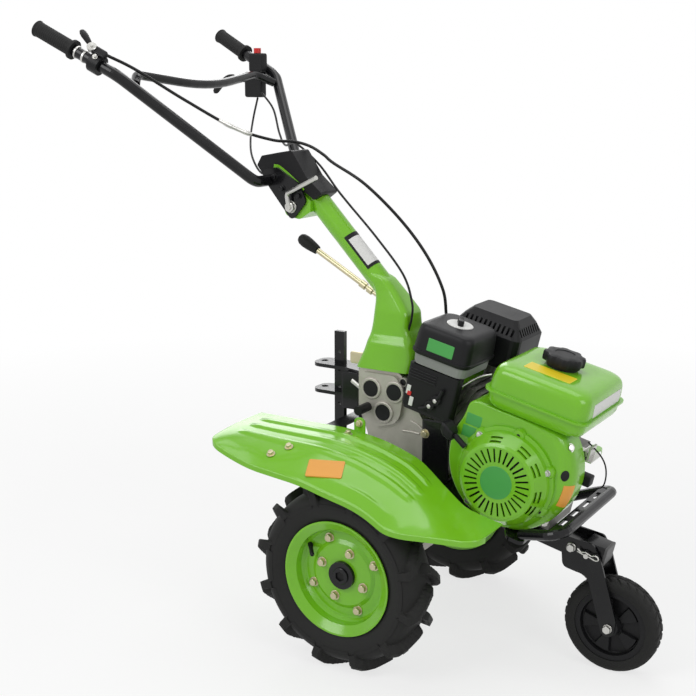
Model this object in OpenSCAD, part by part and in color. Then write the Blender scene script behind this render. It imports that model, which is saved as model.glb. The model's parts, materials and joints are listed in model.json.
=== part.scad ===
// Walk-behind garden tiller on lugged drive wheels, with a swing-up front transport wheel.
// Frame: +X forward, +Y to the machine's left, +Z up, in millimetres.
// Sizes are given from the drive axle's vertical plane, and every piece is then shifted along X
// so that the origin lies on the ground under the middle of the bounding box.

/* [Drive wheels] */
// Radius over the lug tips
wheel_r = 200; // [190:1:210]
// Width of a tyre
wheel_w = 107; // [96:1:112]
// Distance between the two tyres' middle planes
wheel_track = 534; // [528:1:545]
// Height of a lug above the carcass
lug_h = 17; // [12:1:20]
// Thickness of a lug
lug_t = 15; // [11:1:19]
// Lugs in each of a tyre's two rows
lug_count = 12; // [10:1:13]
// Lean of a lug from the axle's direction
lug_lean = 42; // [35:1:48]
// Radius of the rim's flange
rim_r = 122; // [114:1:128]
// Width of the rim over its flanges
rim_w = 86; // [78:1:92]
// Radius of the wheel hub
hub_r = 29; // [25:1:34]
// Width across flats of the hexagon ends of the wheel shaft
shaft_flats = 24; // [20:1:26]

/* [Gearbox] */
// Half width of the case
case_half = 62; // [56:1:66]
// Half width over the side pads
pad_half = 72; // [69:1:76]
// Height of the case's top face above the ground
case_top = 578; // [570:1:586]
// Radius of the wheel shaft's journal
journal_r = 16; // [15:0.5:18]

/* [Engine] */
// Crankshaft's distance ahead of the drive axle
engine_x = 277; // [272:1:290]
// Crankshaft's height above the ground
engine_z = 411; // [406:1:420]
// Nose-down slope of the engine and its frame
frame_pitch = 13; // [11:0.5:15]
// Crankshaft's height above the engine's foot
foot_drop = 106; // [102:1:110]
// Radius of the fan shroud
shroud_r = 138; // [132:1:142]
// Radius of the recoil starter's cover
recoil_r = 105; // [98:1:112]
// Slots round the starter's face
slot_count = 30; // [20:1:34]
// Length of the fuel tank
tank_l = 214; // [196:1:224]
// Width of the fuel tank
tank_w = 240; // [220:1:250]

/* [Column and handlebar] */
// Radius of the column tube
column_r = 24; // [20:1:27]
// Height of the grips' ends above the ground
grip_h = 1292; // [1276:1:1308]
// Distance of the grips' ends behind the drive axle
grip_back = 746; // [734:1:758]
// Radius of the handle tubes
handle_r = 12.5; // [11:0.5:14]
// Radius of the grips
grip_r = 16.5; // [15:0.5:19]
// Length of the grips
grip_l = 107; // [95:1:120]
// Half width of the column head between the handlebar's plates
head_half = 34; // [31:1:36]
// Thickness of the handlebar's side plates
plate_t = 6; // [4:0.5:7]

/* [Fenders] */
// Distance of a fender's outer edge from the middle plane
fender_out = 345; // [340:1:352]
// Thickness of the fender sheet
fender_t = 2; // [1.5:0.5:3]
// Depth of the lip turned down round the fender's edge
lip_h = 12; // [8:1:16]
// Height of the pressed ribs
rib_h = 4; // [2:0.5:6]

/* [Front wheel and fork] */
// Radius of the front wheel
front_r = 100; // [94:1:104]
// Width of the front wheel
front_w = 48; // [42:1:52]
// Front wheel's distance ahead of the drive axle
front_x = 478; // [474:1:484]
// Distance between the fork's plates
fork_gap = 58; // [56:1:62]
// Thickness of a fork plate
fork_t = 5; // [4:0.5:6]
// Width of the beam under the engine
beam_w = 50; // [44:1:52]
// Height of the beam
beam_h = 32; // [28:1:36]
// Radius of the bumper's tube
bumper_r = 11; // [9:0.5:12]

/* [Hitch] */
// Radius of the hitch pin's hole
pin_hole_r = 8; // [6:0.5:9]
// Thickness of the hitch's two tongues
tongue_t = 8; // [6:0.5:10]
// Depth bar's width, fore and aft
bar_w = 25; // [20:1:28]
// Depth bar's thickness
bar_t = 12; // [8:1:14]

/* [Hidden] */
$fn = 48;
green = "yellowgreen";
black = "dimgray";
// Clearance between pieces that only lie beside each other
gap = 0.3;
// Radial clearance of a running shaft
run = 0.05;

// Handle tubes: places on the right side
grip_end = [-grip_back, -318, grip_h];
tube_bend = [-548, -286, 1191];
tube_heel = [-343, -88, 966];
grip_dir = (grip_end - tube_bend) / norm(grip_end - tube_bend);
grip_lip = 2;
rear_reach = grip_end[0] - (grip_r + grip_lip) * sqrt(1 - grip_dir[0] * grip_dir[0]);
shift_x = -(front_x + front_r + rear_reach) / 2;

// Engine frame: the deck's plane below the crankshaft, along the pitched frame
deck_w = -foot_drop;
deck_t = 8;
// Fork pivot on the beam, and the wheel's place
pivot_x = 394;
pivot_z = 259;
// Handlebar pivot on the column head
tilt_x = -282;
tilt_z = 911;
// Column tube: lower and upper ends of its axis
column_low = [-72, 0, 753];
column_top = [-300, 0, 992];

function unit(v) = v / norm(v);
function spot(c) = [for (i = [0:len(c) - 2]) c[i]];
// Arc of radius r that rounds the corner p between a and b, in two or three dimensions
function bend(a, p, b, r, steps) =
    let (ua = unit(a - p), ub = unit(b - p), half = acos(ua * ub) / 2,
        mid = p + unit(ua + ub) * r / sin(half),
        s = p + ua * r / tan(half) - mid,
        e = p + ub * r / tan(half) - mid,
        side = unit(e - (e * s) / (s * s) * s) * r,
        turn = 180 - 2 * half)
    [for (k = [0:steps]) mid + s * cos(turn * k / steps) + side * sin(turn * k / steps)];
// Corners whose last number is the bend radius, 0 for a sharp one
function rounded(c, steps = 5) =
    [for (i = [0:len(c) - 1])
        each (c[i][len(c[i]) - 1] > 0
            ? bend(spot(c[(i + len(c) - 1) % len(c)]), spot(c[i]), spot(c[(i + 1) % len(c)]),
                c[i][len(c[i]) - 1], steps)
            : [spot(c[i])])];
// Smooth curve through the points, k pieces between two of them
function curve_at(p, i, t) =
    let (a = p[max(i - 1, 0)], b = p[i], c = p[i + 1], d = p[min(i + 2, len(p) - 1)])
    0.5 * (2 * b + (c - a) * t + (2 * a - 5 * b + 4 * c - d) * t * t + (3 * b - a - 3 * c + d) * t * t * t);
function smooth(p, k) =
    [for (i = [0:len(p) - 2]) for (j = [0:k - 1]) curve_at(p, i, j / k), p[len(p) - 1]];
function heading(p, i) = unit(p[min(i + 1, len(p) - 1)] - p[max(i - 1, 0)]);
function carried(n, t) = unit(n - (n * t) * t);
function sideways(p, i) =
    i == 0 ? carried(abs(heading(p, 0)[2]) < 0.9 ? [0, 0, 1] : [1, 0, 0], heading(p, 0))
        : carried(sideways(p, i - 1), heading(p, i));
function ring_at(p, i, r, n, side) =
    [for (j = [0:n - 1]) p[i] + r * (cos(360 * j / n) * side + sin(360 * j / n) * cross(heading(p, i), side))];
// Rounded rectangle at height z: x and y limits and corner radius
function slab(x0, x1, y0, y1, z, r) =
    [for (q = rounded([[x0, y0, r], [x1, y0, r], [x1, y1, r], [x0, y1, r]], 4)) [q[0], q[1], z]];

// Closed skin over rings of points that run counter-clockwise seen from the last ring
module loft(rings) {
    n = len(rings[0]);
    m = len(rings);
    polyhedron(points = [for (r = rings) each r],
        faces = concat([[for (j = [0:n - 1]) j]],
            [for (i = [0:m - 2]) for (j = [0:n - 1])
                [i * n + j, (i + 1) * n + j, (i + 1) * n + (j + 1) % n, i * n + (j + 1) % n]],
            [[for (j = [n - 1:-1:0]) (m - 1) * n + j]]), convexity = 6);
}

// Round bar of radius r along a list of points
module sweep(path, r, n = 12)
    loft([for (i = [0:len(path) - 1]) ring_at(path, i, r, n, sideways(path, i))]);

module placed() translate([shift_x, 0, 0]) children();

module on_engine() placed() translate([engine_x, 0, engine_z]) rotate([0, frame_pitch, 0]) children();

module mirrored() {
    children();
    mirror([0, 1, 0]) children();
}

// Outline in x and z, from y0 to y1
module plate(outline, y0, y1)
    translate([0, y1, 0]) rotate([90, 0, 0]) linear_extrude(y1 - y0) polygon(outline);

// Round bar along Y at x, z
module rod_y(x, z, r, y0, y1) translate([x, y1, z]) rotate([90, 0, 0]) cylinder(h = y1 - y0, r = r);

// Round bar between two points
module rod(a, b, r) {
    v = b - a;
    translate(a) rotate([0, acos(v[2] / norm(v)), atan2(v[1], v[0])]) cylinder(h = norm(v), r = r);
}

// Place of the right drive wheel, with z running outwards from the tyre's middle plane
module at_wheel() placed() translate([0, -wheel_track / 2, wheel_r]) rotate([90, 0, 0]) children();

// Gearbox
case_nose = 95;
case_tail = -95;
case_outline = rounded([[case_tail, case_top, 8], [8, case_top, 20], [40, 520, 60], [case_nose, 430, 60],
    [case_nose, 320, 60], [58, 230, 60], [50, wheel_r - 48, 40], [-50, wheel_r - 48, 40], [-60, 230, 60],
    [-80, 330, 60], [-70, 430, 40], [case_tail, 490, 15]]);
pad_outline = rounded([[-88, case_top - 6, 14], [4, case_top - 6, 18], [20, 530, 24], [10, 470, 34], [-56, 450, 30],
    [-84, 500, 20]]);
axle_boss_r = 46;
axle_boss_half = 86;
input_boss_r = 34;
input_x = 0;
input_z = 537;
belt_in = 95;

module gearbox_case() color("darkgray") placed() difference() {
    union() {
        plate(case_outline, -case_half, case_half);
        plate(pad_outline, -pad_half, pad_half);
        rod_y(0, wheel_r, axle_boss_r, -axle_boss_half, axle_boss_half);
        rod_y(input_x, input_z, input_boss_r, 0, belt_in);
    }
    rod_y(0, wheel_r, journal_r + run, -axle_boss_half - 1, axle_boss_half + 1);
}

// Plugs and selector stub on the right face: x, z, radius, how far they stand out
plug_table = [[-57, 538, 17, 5], [input_x, input_z, 17, 5], [-27, 489, 17, 5], [-66, 496, 10, 42]];

module gearbox_plugs() color(black) placed()
    for (p = plug_table) rod_y(p[0], p[1], p[2], -pad_half - p[3], -pad_half);

// Height of the fenders' rear shelf
shelf_z = 466;

// Hitch: a base plate on the gearbox and two tongues with one pin hole
tongue_high = 560;
tongue_low = 500;
tongue_tip = -240;
pin_x = -222;
bar_x = -180;
base_plate_t = 10;
tongue_half = 30;

module hitch_bracket() color(black) placed() difference() {
    union() {
        translate([case_tail - base_plate_t, -45, shelf_z - fender_t - gap])
            cube([base_plate_t, 90, case_top - 4 - shelf_z]);
        for (z = [tongue_low, tongue_high])
            translate([0, 0, z - tongue_t / 2]) linear_extrude(tongue_t)
                polygon(rounded([[case_tail - 5, -45, 0], [-150, -tongue_half, 30], [tongue_tip, -tongue_half, 22],
                    [tongue_tip, tongue_half, 22], [-150, tongue_half, 30], [case_tail - 5, 45, 0]]));
    }
    translate([pin_x, 0, tongue_low - 50]) cylinder(h = 200, r = pin_hole_r);
    translate([bar_x - bar_w / 2 - gap, -bar_t / 2 - gap, tongue_low - 50])
        cube([bar_w + 2 * gap, bar_t + 2 * gap, 200]);
}

// Depth bar: a flat bar through the tongues, with a row of holes and a pointed foot
bar_top = 637;
bar_low = 260;
bar_hole_r = 4;
bar_pitch = 40;

module depth_bar() color(black) placed() difference() {
    plate([[bar_x - bar_w / 2, bar_top], [bar_x + bar_w / 2, bar_top], [bar_x + bar_w / 2, bar_low + bar_w],
        [bar_x - bar_w / 2, bar_low]], -bar_t / 2, bar_t / 2);
    for (z = [bar_low + 2 * bar_w : bar_pitch : bar_top - bar_w]) rod_y(bar_x, z, bar_hole_r, -bar_t, bar_t);
}

// Column: a folded foot on the gearbox that narrows into the slanted tube.
// Foot sections: height, rear x, front x, half width
foot_sections = [[case_top + gap, -105, 30, 66], [case_top + 22, -96, 34, 60], [622, -88, 36, 56], [667, -79, 22, 46],
    [700, -77, 40, 38], [726, -77, 15, 32], [745, -82, -3, 28], [762, -96, -18, 25]];

module handle_column() color(green) placed() {
    loft([for (s = foot_sections) slab(s[1], s[2], -s[3], s[3], s[0], 14)]);
    rod(column_low, column_top, column_r);
}

// Column head: a welded bracket under the tube's top, bored for the tilt bolt
head_outline = rounded([[-314, 930, 8], [-300, 890, 14], [-264, 884, 14], [-236, 902, 6], [-236, 926, 0],
    [-300, 966, 0]]);
tilt_bolt_r = 6;

module column_head() color(green) placed() difference() {
    plate(head_outline, -head_half, head_half);
    rod(column_low, column_top, column_r + gap);
    rod_y(tilt_x, tilt_z, tilt_bolt_r + run, -100, 100);
}

// Cover: a moulded saddle over the top of the column, with sloping facets
cover_half = head_half - 1;
cover_outline = rounded([[-378, 998, 4], [-365, 1019, 4], [-316, 1028, 0], [-285, 1033, 8], [-247, 977, 20],
    [-207, 943, 4], [-227, 928, 4], [-276, 961, 0], [-338, 993, 4], [-361, 977, 4]]);

module column_cover() color(black) placed() difference() {
    plate(cover_outline, -cover_half, cover_half);
    rod(column_low, column_top + unit(column_top - column_low) * gap, column_r + gap);
}

// Fenders. Heights of the sheet's inner and outer edges along x
inner_edge = [[-290, shelf_z], [-64, shelf_z], [20, 454], [67, 440], [120, 420], [148, 398], [232, 364], [345, 360]];
outer_edge = [[-290, 461], [-249, 442], [-185, 423], [-63, 411], [31, 388], [121, 350], [158, 345], [233, 353],
    [345, 362]];
fender_rear = -296;
fender_front = 328;
corner_r = 36;
tyre_clear = 9;
fender_cols = 12;
fender_steps = 40;
rib_places = [0.22, 0.42, 0.62];
rib_half = 0.06;

// Inner edge of the sheet, which swings out round the engine
fender_inside = [[100, 146], [150, 158], [190, 176], [232, 198], [fender_front, 232]];
function fender_in(x) = lookup(x, fender_inside);
function corner_cut(d) = d >= corner_r ? 0 : corner_r - sqrt(corner_r * corner_r - pow(corner_r - d, 2));
function fender_y(x, t) =
    let (edge = fender_out - corner_cut(min(x - fender_rear, fender_front - x)))
    fender_in(x) + (edge - fender_in(x)) * t;
function rib(x, t) =
    rib_h * max([for (c = rib_places) max(0, 1 - abs(t - c) / rib_half)])
        * min(1, max(0, (min(x - fender_rear, fender_front - x) - 30) / 20));
function over_tyre(x, y) =
    abs(x) < wheel_r && y < (wheel_track + wheel_w) / 2 + 8
        ? wheel_r + sqrt(pow(wheel_r + tyre_clear, 2) - x * x) : 0;
function fender_z(x, t) =
    let (zi = lookup(x, inner_edge), zo = lookup(x, outer_edge))
    max(zi - (zi - zo) * pow(t, 3) + rib(x, t), over_tyre(x, fender_y(x, t)) + fender_t);
// One section across the sheet at x: over the top to the lip's foot, then back underneath
function fender_ring(x) =
    let (top = [for (k = [0:fender_cols]) [x, fender_y(x, k / fender_cols), fender_z(x, k / fender_cols)]],
        edge = top[fender_cols])
    concat([for (p = top) p], [edge + [0, 0, -lip_h], edge + [0, -fender_t, -lip_h], edge + [0, -fender_t, -fender_t]],
        [for (k = [fender_cols - 1:-1:0]) top[k] - [0, 0, fender_t]]);

module fender() color(green) placed()
    loft([for (k = [0:fender_steps]) fender_ring(fender_rear + (fender_front - fender_rear) * k / fender_steps)]);

module fender_left() fender();

module fender_right() mirror([0, 1, 0]) fender();

// Brackets that carry the fenders: a bar behind the gearbox, and a bar under the deck with two posts
rear_bar_half = 176;
front_bar_u = -70;
post_x = 192;
post_y = 200;
post_top = 367;
bracket_w = 34;
bracket_t = 5;
deck_half = 95;

module fender_brackets() color(black) {
    placed() translate([case_tail - bracket_w, -rear_bar_half, shelf_z - fender_t - gap - bracket_t])
        cube([bracket_w, 2 * rear_bar_half, bracket_t]);
    on_engine() translate([front_bar_u, beam_w / 2 + gap, deck_w - deck_t - bracket_t]) front_bar();
    on_engine() mirror([0, 1, 0]) translate([front_bar_u, beam_w / 2 + gap, deck_w - deck_t - bracket_t]) front_bar();
    mirrored() placed() translate([post_x, post_y - bracket_t, 302]) cube([bracket_w - 8, bracket_t, post_top - 302]);
}

module front_bar() cube([bracket_w, post_y - beam_w / 2 - gap, bracket_t]);

// Engine frame: a deck plate on the beam, closed at the gearbox by a flange
deck_rear = -154;
deck_front = 78;
deck_front_half = 138;
flange_t = 10;

module engine_frame() color(black) {
    on_engine() translate([0, 0, deck_w - deck_t]) linear_extrude(deck_t)
        polygon(rounded([[deck_rear, -60, 0], [-110, -deck_half, 20], [20, -deck_half, 20], [44, -deck_front_half, 14],
            [deck_front, -deck_front_half, 12], [deck_front, deck_front_half, 12], [44, deck_front_half, 14],
            [20, deck_half, 20], [-110, deck_half, 20], [deck_rear, 60, 0]]));
    placed() translate([case_nose, -60, 300]) cube([flange_t, 120, 48]);
}

// Beam: a box tube under the deck, with the fork's pivot pin across it
beam_front = 172;
beam_rear = deck_rear + 14;
pivot_r = 6;

module front_beam() color(black) {
    on_engine() translate([beam_rear, -beam_w / 2, deck_w - deck_t - beam_h])
        cube([beam_front - beam_rear, beam_w, beam_h]);
    placed() rod_y(pivot_x, pivot_z, pivot_r, -fork_gap / 2 - fork_t - 8, fork_gap / 2 + fork_t + 8);
    placed() mirrored() rod_y(pivot_x, pivot_z, 11, beam_w / 2 - 1, fork_gap / 2 - gap);
}

module beam_cap() color("gray") on_engine()
    translate([beam_front, -beam_w / 2, deck_w - deck_t - beam_h]) cube([3, beam_w, beam_h]);

// Bumper: a tube bent round the front and a slotted guard plate behind it
bumper_x = 417;
bumper_y = 159;
bumper_z = 330;
bumper_route = rounded([[322, -126, 302.2, 0], [374, -bumper_y + 14, 318, 60], [bumper_x, -bumper_y, bumper_z, 26],
    [bumper_x, bumper_y, bumper_z, 26], [374, bumper_y - 14, 318, 60], [322, 126, 302.2, 0]], 6);

module front_bumper() color(black) placed() {
    sweep(bumper_route, bumper_r, 14);
    difference() {
        translate([388, -bumper_y + 12, bumper_z - 3]) cube([22, 2 * bumper_y - 24, 5]);
        for (y = [-90, -30, 30, 90]) translate([393, y - 20, bumper_z - 20]) cube([9, 40, 40]);
    }
}

// Engine block: crankcase, slanted finned cylinder and shaft boss, in the pitched frame
shroud_back = -40;
shroud_face = -110;
block_left = 82;
cylinder_slant = 25;
// Ports: the intake's place in the pitched frame, the exhaust's foot and both pipes' radius
intake = [-172, 90];
exhaust = [-158, 80, 110];
port_r = 14;
guard_low = 146;

module engine_block() color("silver") on_engine() {
    translate([-92, shroud_back, deck_w]) cube([186, block_left - shroud_back, foot_drop + 62]);
    rod_y(0, 0, 34, block_left - 1, belt_in);
    rod_y(intake[0], intake[1], port_r, -pad_half + 7 + gap, shroud_back + 10);
    rod_y(exhaust[0], exhaust[2], port_r, shroud_back + 80, exhaust[1]);
    translate(exhaust) cylinder(h = guard_low - gap - exhaust[2], r = port_r);
    rotate([0, cylinder_slant, 0]) {
        translate([-196, shroud_back + 6, -46]) cube([130, 92, 92]);
        for (k = [0:6]) translate([-190 + 14 * k, shroud_back, -56]) cube([6, 104, 112]);
    }
}

// Fan shroud: a round housing, flat at the foot and square under the tank
shroud_mid = [5, 22];
shroud_top = 128;

module fan_shroud() color(green) on_engine() intersection() {
    union() {
        rod_y(shroud_mid[0], shroud_mid[1], shroud_r, shroud_face, shroud_back);
        plate(rounded([[-126, 20, 0], [138, 20, 0], [128, shroud_top, 24], [-112, shroud_top, 24]]),
            shroud_face, shroud_back);
    }
    translate([-200, -200, deck_w + 1]) cube([400, 400, shroud_top - deck_w - 1]);
}

// Starter cover: a dished pressing with a ring of slots, hollow behind
starter_face = -155;
face_r = 74;
core_r = 36;
sheet = 3;
// Vents in the slanted rim: the groups' angles, their radii, width and turn
rim_vents = [-22, 0, 37, 65, 108];
rim_vent_r = [face_r + 7, face_r + 13];
rim_vent_w = 3;
rim_vent_turn = 17;

module starter_cover() color(green) on_engine() difference() {
    rotate([90, 0, 0]) rotate_extrude($fn = 96) polygon([[0, -starter_face - sheet], [face_r, -starter_face - sheet],
        [recoil_r - 14, -shroud_face + 14], [recoil_r - 12, -shroud_face], [recoil_r, -shroud_face],
        [recoil_r, -shroud_face + 6], [recoil_r - 7, -shroud_face + 8], [recoil_r - 9, -shroud_face + 18],
        [face_r + 6, -starter_face - 3], [face_r, -starter_face], [0, -starter_face]]);
    for (k = [0:slot_count - 1])
        rotate([0, k * 360 / slot_count, 0]) translate([core_r + 6, starter_face - 1, -2]) cube([face_r - core_r - 10, 12, 4]);
    for (a = rim_vents) for (r = rim_vent_r) rotate([90, 0, 0]) rotate([0, 0, a - rim_vent_turn / 2])
        rotate_extrude(angle = rim_vent_turn, $fn = 96) translate([r, -shroud_face + 9]) square([rim_vent_w, 40]);
}

// Pulley behind the slots
module starter_pulley() color("black") on_engine() rod_y(0, 0, face_r - 8, starter_face + sheet + 5, shroud_face);

// Pull handle: a grip and its stem at the cover's rim
handle_spot = [-104, -132, 42];

module starter_handle() color("black") on_engine() {
    rod([-90.2, -132, 35.3], handle_spot + [-14, 0, 8], 6);
    loft([for (s = [[0, 9, 14], [8, 12, 19], [18, 13, 20], [26, 9, 17]])
        [for (q = slab(-s[1], s[1], -s[2], s[2], 0, 6)) handle_spot + [-14 - s[0], q[1], 8 + s[0] * 0.5 + q[0]]]]);
}

// Fuel tank: two pressed halves with a seam flange.
// Sections: height, how far it stands in from the seam, corner radius
tank_mid = [18, -8];
tank_seam = 168;
tank_sections = [[shroud_top + gap, 24, 18], [132, 12, 22], [146, 7, 24], [tank_seam - 4, 6, 24], [tank_seam - 4, 0, 24],
    [tank_seam, 0, 24], [tank_seam, 6, 24], [192, 8, 24], [208, 15, 24], [217, 26, 24], [222, 46, 20]];

module fuel_tank() color(green) on_engine()
    loft([for (s = tank_sections) slab(tank_mid[0] - tank_l / 2 + s[1], tank_mid[0] + tank_l / 2 - s[1],
        tank_mid[1] - tank_w / 2 + s[1], tank_mid[1] + tank_w / 2 - s[1], s[0], s[2])]);

module fuel_cap() color("black") on_engine() translate([18, 0, 222]) {
    cylinder(h = 8, r = 34);
    translate([0, 0, 8]) cylinder(h = 20, r = 41, $fn = 96);
}

// Air cleaner: moulded cover on a grey base, over the carburettor's cover
cleaner_u = [-272, -142];
cleaner_y = [-100, 45];

module air_cleaner_cover() color("black") on_engine()
    loft([for (s = [[172, 0, 18], [176, -2, 20], [214, 2, 22], [230, 8, 24], [238, 20, 22]])
        slab(cleaner_u[0] + s[1], cleaner_u[1] - s[1], cleaner_y[0] + s[1], cleaner_y[1] - s[1], s[0], s[2])]);

module air_cleaner_base() color("gray") on_engine()
    loft([for (s = [[148, 10, 16], [150, 6, 18], [172 - gap, 4, 18]])
        slab(cleaner_u[0] + s[1], cleaner_u[1] - s[1], cleaner_y[0] + s[1], cleaner_y[1] - s[1], s[0], s[2])]);

module carburettor_cover() color(black) on_engine()
    loft([for (s = [[46, 6, 5], [54, 2, 7], [148 - gap, 1, 7]])
        slab(-270 + s[1], -150 - s[1], -96 + s[1], -pad_half + 8 - s[1], s[0], s[2])]);

// Muffler guard: a pressed box with rows of slots over its upper edges.
// Sections: height, how far it stands in, corner radius
guard_u = [-262, -104];
guard_y = [56, 196];
guard_sections = [[guard_low, 6, 14], [156, 0, 18], [216, 0, 18], [238, 14, 14], [252, 26, 12]];
vent_w = 5;
vent_pitch = 11;
vent_deep = 15;
vent_z = [222, 248];

module muffler_guard() color(black) on_engine() difference() {
    loft([for (s = guard_sections)
        slab(guard_u[0] + s[1], guard_u[1] - s[1], guard_y[0] + s[1], guard_y[1] - s[1], s[0], s[2])]);
    for (u = [guard_u[0] + 24 : vent_pitch : guard_u[1] - 24]) translate([u, guard_y[0] - 1, vent_z[0]])
        cube([vent_w, vent_deep, vent_z[1] - vent_z[0]]);
    for (y = [guard_y[0] + 22 : vent_pitch : guard_y[1] - 24]) translate([guard_u[1] + 1 - vent_deep, y, vent_z[0]])
        cube([vent_deep, vent_w, vent_z[1] - vent_z[0]]);
}

// Belt cover on the left side: round the gearbox's pulley and round the engine's
belt_out = 140;
belt_big_r = 84;
belt_small_r = 68;

module belt_cover() color(green) {
    reach = norm([engine_x - input_x, engine_z - input_z]);
    slope = atan2(engine_z - input_z, engine_x - input_x);
    flare = acos((belt_big_r - belt_small_r) / reach);
    placed() plate(concat(
        [for (a = [slope + flare:6:slope + 360 - flare])
            [input_x + belt_big_r * cos(a), input_z + belt_big_r * sin(a)]],
        [for (a = [slope - flare:6:slope + flare])
            [engine_x + belt_small_r * cos(a), engine_z + belt_small_r * sin(a)]]), belt_in, belt_out);
}

// Governor and throttle plate under the tank's front
module governor_control() color("silver") on_engine() {
    translate([96, shroud_back, 66]) cube([44, 60, 3]);
    rod_y(120, 78, 7, -36, 6);
    translate([128, -36, 69]) cube([4, 34, 26]);
}

// Shift lever with its adjuster, and the knob on its end
lever_low = [-50, 48, 681];
lever_high = [-288, 48, 814];

module shift_lever() color("silver") placed() {
    rod(lever_low, lever_high, 5);
    rod(lever_low + unit(lever_high - lever_low) * 44, lever_low + unit(lever_high - lever_low) * 84, 8);
}

module shift_knob() color("black") placed() {
    along = unit(lever_high - lever_low);
    rod(lever_high + along * gap, lever_high + along * 30, 12);
}

// Cables: routes chosen by hand
throttle_route = [[-578, -286, 1234], [-546, -232, 1204], [-480, -152, 1140], [-410, -72, 1080], [-360, 0, 1052],
    [-318, 26, 1048], [-278, 30, 1039], [-240, 26, 1022], [-207, 14, 1006], [-122, 6, 965], [-41, 18, 893],
    [15, 34, 819], [50, 46, 745], [57, 50.5, 690], [62, 50.8, 660]];
clutch_route = [[-566, 250, 1150], [-500, 205, 1112], [-445, 150, 1060], [-390, 95, 1035], [-330, 52, 1042],
    [-262, 40, 1000], [-196, 10, 951], [-164, 4, 923], [-83, -8, 853], [-1, -24, 782], [44, -37, 701],
    [41, -34, 680], [27.1, -30, 657]];
wire_route = [[-590, 266, 1136.7], [-585, 240, 1090], [-540, 165, 1043], [-485, 95, 1005], [-430, 55, 972],
    [-378, 38, 972]];
cable_r = 4;
wire_r = 2.5;

module throttle_cable() color("black") placed() sweep(smooth(throttle_route, 3), cable_r, 8);

module clutch_cable() color("black") placed() sweep(smooth(clutch_route, 3), wire_r, 8);

module switch_wire() color("black") placed() sweep(smooth(wire_route, 3), wire_r, 8);

// Handlebar bracket: two side plates on the tilt bolt
plate_in = head_half + gap;
bracket_outline = rounded([[-281, 880, 10], [-243, 924, 14], [-262, 962, 10], [-320, 996, 12], [-364, 986, 10],
    [-340, 950, 8]]);

module handle_bracket() color(black) placed() mirrored() difference() {
    plate(bracket_outline, plate_in, plate_in + plate_t);
    rod_y(tilt_x, tilt_z, tilt_bolt_r + run, 0, 100);
}

// Clamp lever: the tilt bolt with a bent handle on the right
module clamp_lever() color("silver") placed() {
    rod_y(tilt_x, tilt_z, tilt_bolt_r, -plate_in - plate_t - 14, plate_in + plate_t + 10);
    sweep(rounded([[tilt_x, -plate_in - plate_t - 10, tilt_z, 0], [tilt_x - 4, -plate_in - plate_t - 12, tilt_z + 30, 12],
        [tilt_x + 88, -plate_in - plate_t - 34, tilt_z + 70, 0]], 5), 5, 10);
}

// Handle tubes, from the side plate out and up to the grip
tube_foot = [tube_heel[0], -plate_in - plate_t - gap, tube_heel[2]];
tube_route = rounded([[tube_foot[0], tube_foot[1], tube_foot[2], 0], [tube_heel[0], tube_heel[1], tube_heel[2], 30],
    [tube_bend[0], tube_bend[1], tube_bend[2], 70],
    [grip_end[0] - 12 * grip_dir[0], grip_end[1] - 12 * grip_dir[1], grip_end[2] - 12 * grip_dir[2], 0]], 7);

module handle_tube_right() color(black) placed() sweep(tube_route, handle_r, 16);

module handle_tube_left() color(black) mirror([0, 1, 0]) handle_tube_right();

// Cross bar between the tubes: bent at its ends and sagging at its middle
cross_end = [-530.6, 252.5, 1173.6];
cross_hump = [-560, 214, 1194];
cross_sag = [-530, 0, 1166];
cross_r = 10;

module cross_bar() color(black) placed()
    sweep(rounded([[cross_end[0], -cross_end[1], cross_end[2], 0], [cross_hump[0], -cross_hump[1], cross_hump[2], 30],
        [cross_sag[0], cross_sag[1], cross_sag[2], 500], [cross_hump[0], cross_hump[1], cross_hump[2], 30],
        [cross_end[0], cross_end[1], cross_end[2], 0]], 7), cross_r, 14);

// Grips: sleeves over the tubes' ends, with a raised collar
module grips() color("black") placed() mirrored() difference() {
    union() {
        rod(grip_end, grip_end - grip_dir * grip_l, grip_r);
        rod(grip_end - grip_dir * (grip_l - 7), grip_end - grip_dir * grip_l, grip_r + 5);
        rod(grip_end, grip_end - grip_dir * 8, grip_r + grip_lip);
    }
    rod(grip_end - grip_dir * (12 - gap), grip_end - grip_dir * (grip_l + 5), handle_r + gap);
}

// Hand levers: throttle clamped on the right tube, clutch at the left tube's switch box
lever_spot = tube_bend + grip_dir * 44;
clamp_l = 24;

module hand_levers() color(black) placed() {
    difference() {
        rod(lever_spot, lever_spot + grip_dir * clamp_l, handle_r + 9);
        rod(lever_spot - grip_dir, lever_spot + grip_dir * (clamp_l + 1), handle_r + gap);
    }
    rod(lever_spot + grip_dir * 12 + [0, 0, handle_r + 6.5], lever_spot + grip_dir * 12 + [-28, -6, 62], 5);
    sweep(rounded([[box_halves[1][0] - 4 * gap, 266, 1178, 0], [-682, 268, 1188, 30], [-730, 274, 1150, 0]], 4), 5, 10);
}

// Switch box beside the left tube: its two stacked halves as x, z, length and height
box_y = [254, 276.4];
box_halves = [[-608, 1200, 40, 45], [-622, 1138, 50, 62]];

module switch_box() color(black) placed()
    for (h = box_halves) translate([h[0], box_y[0], h[1]]) cube([h[2], box_y[1] - box_y[0], h[3]]);

module stop_button() color("red") placed()
    translate([-588, 265, box_halves[0][1] + box_halves[0][3]]) cylinder(h = 12, r = 9);

// Front fork: two plates on the pivot pin that carry the wheel's axle
fork_outline = rounded([[370, 283, 8], [440, 273, 10], [456, 245, 20], [494, 118, 14], [490, 82, 14], [466, 82, 14],
    [430, 205, 30], [405, 208, 14], [376, 214, 14]]);
axle_r = 6;
lock_pin = [429, 250];

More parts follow.
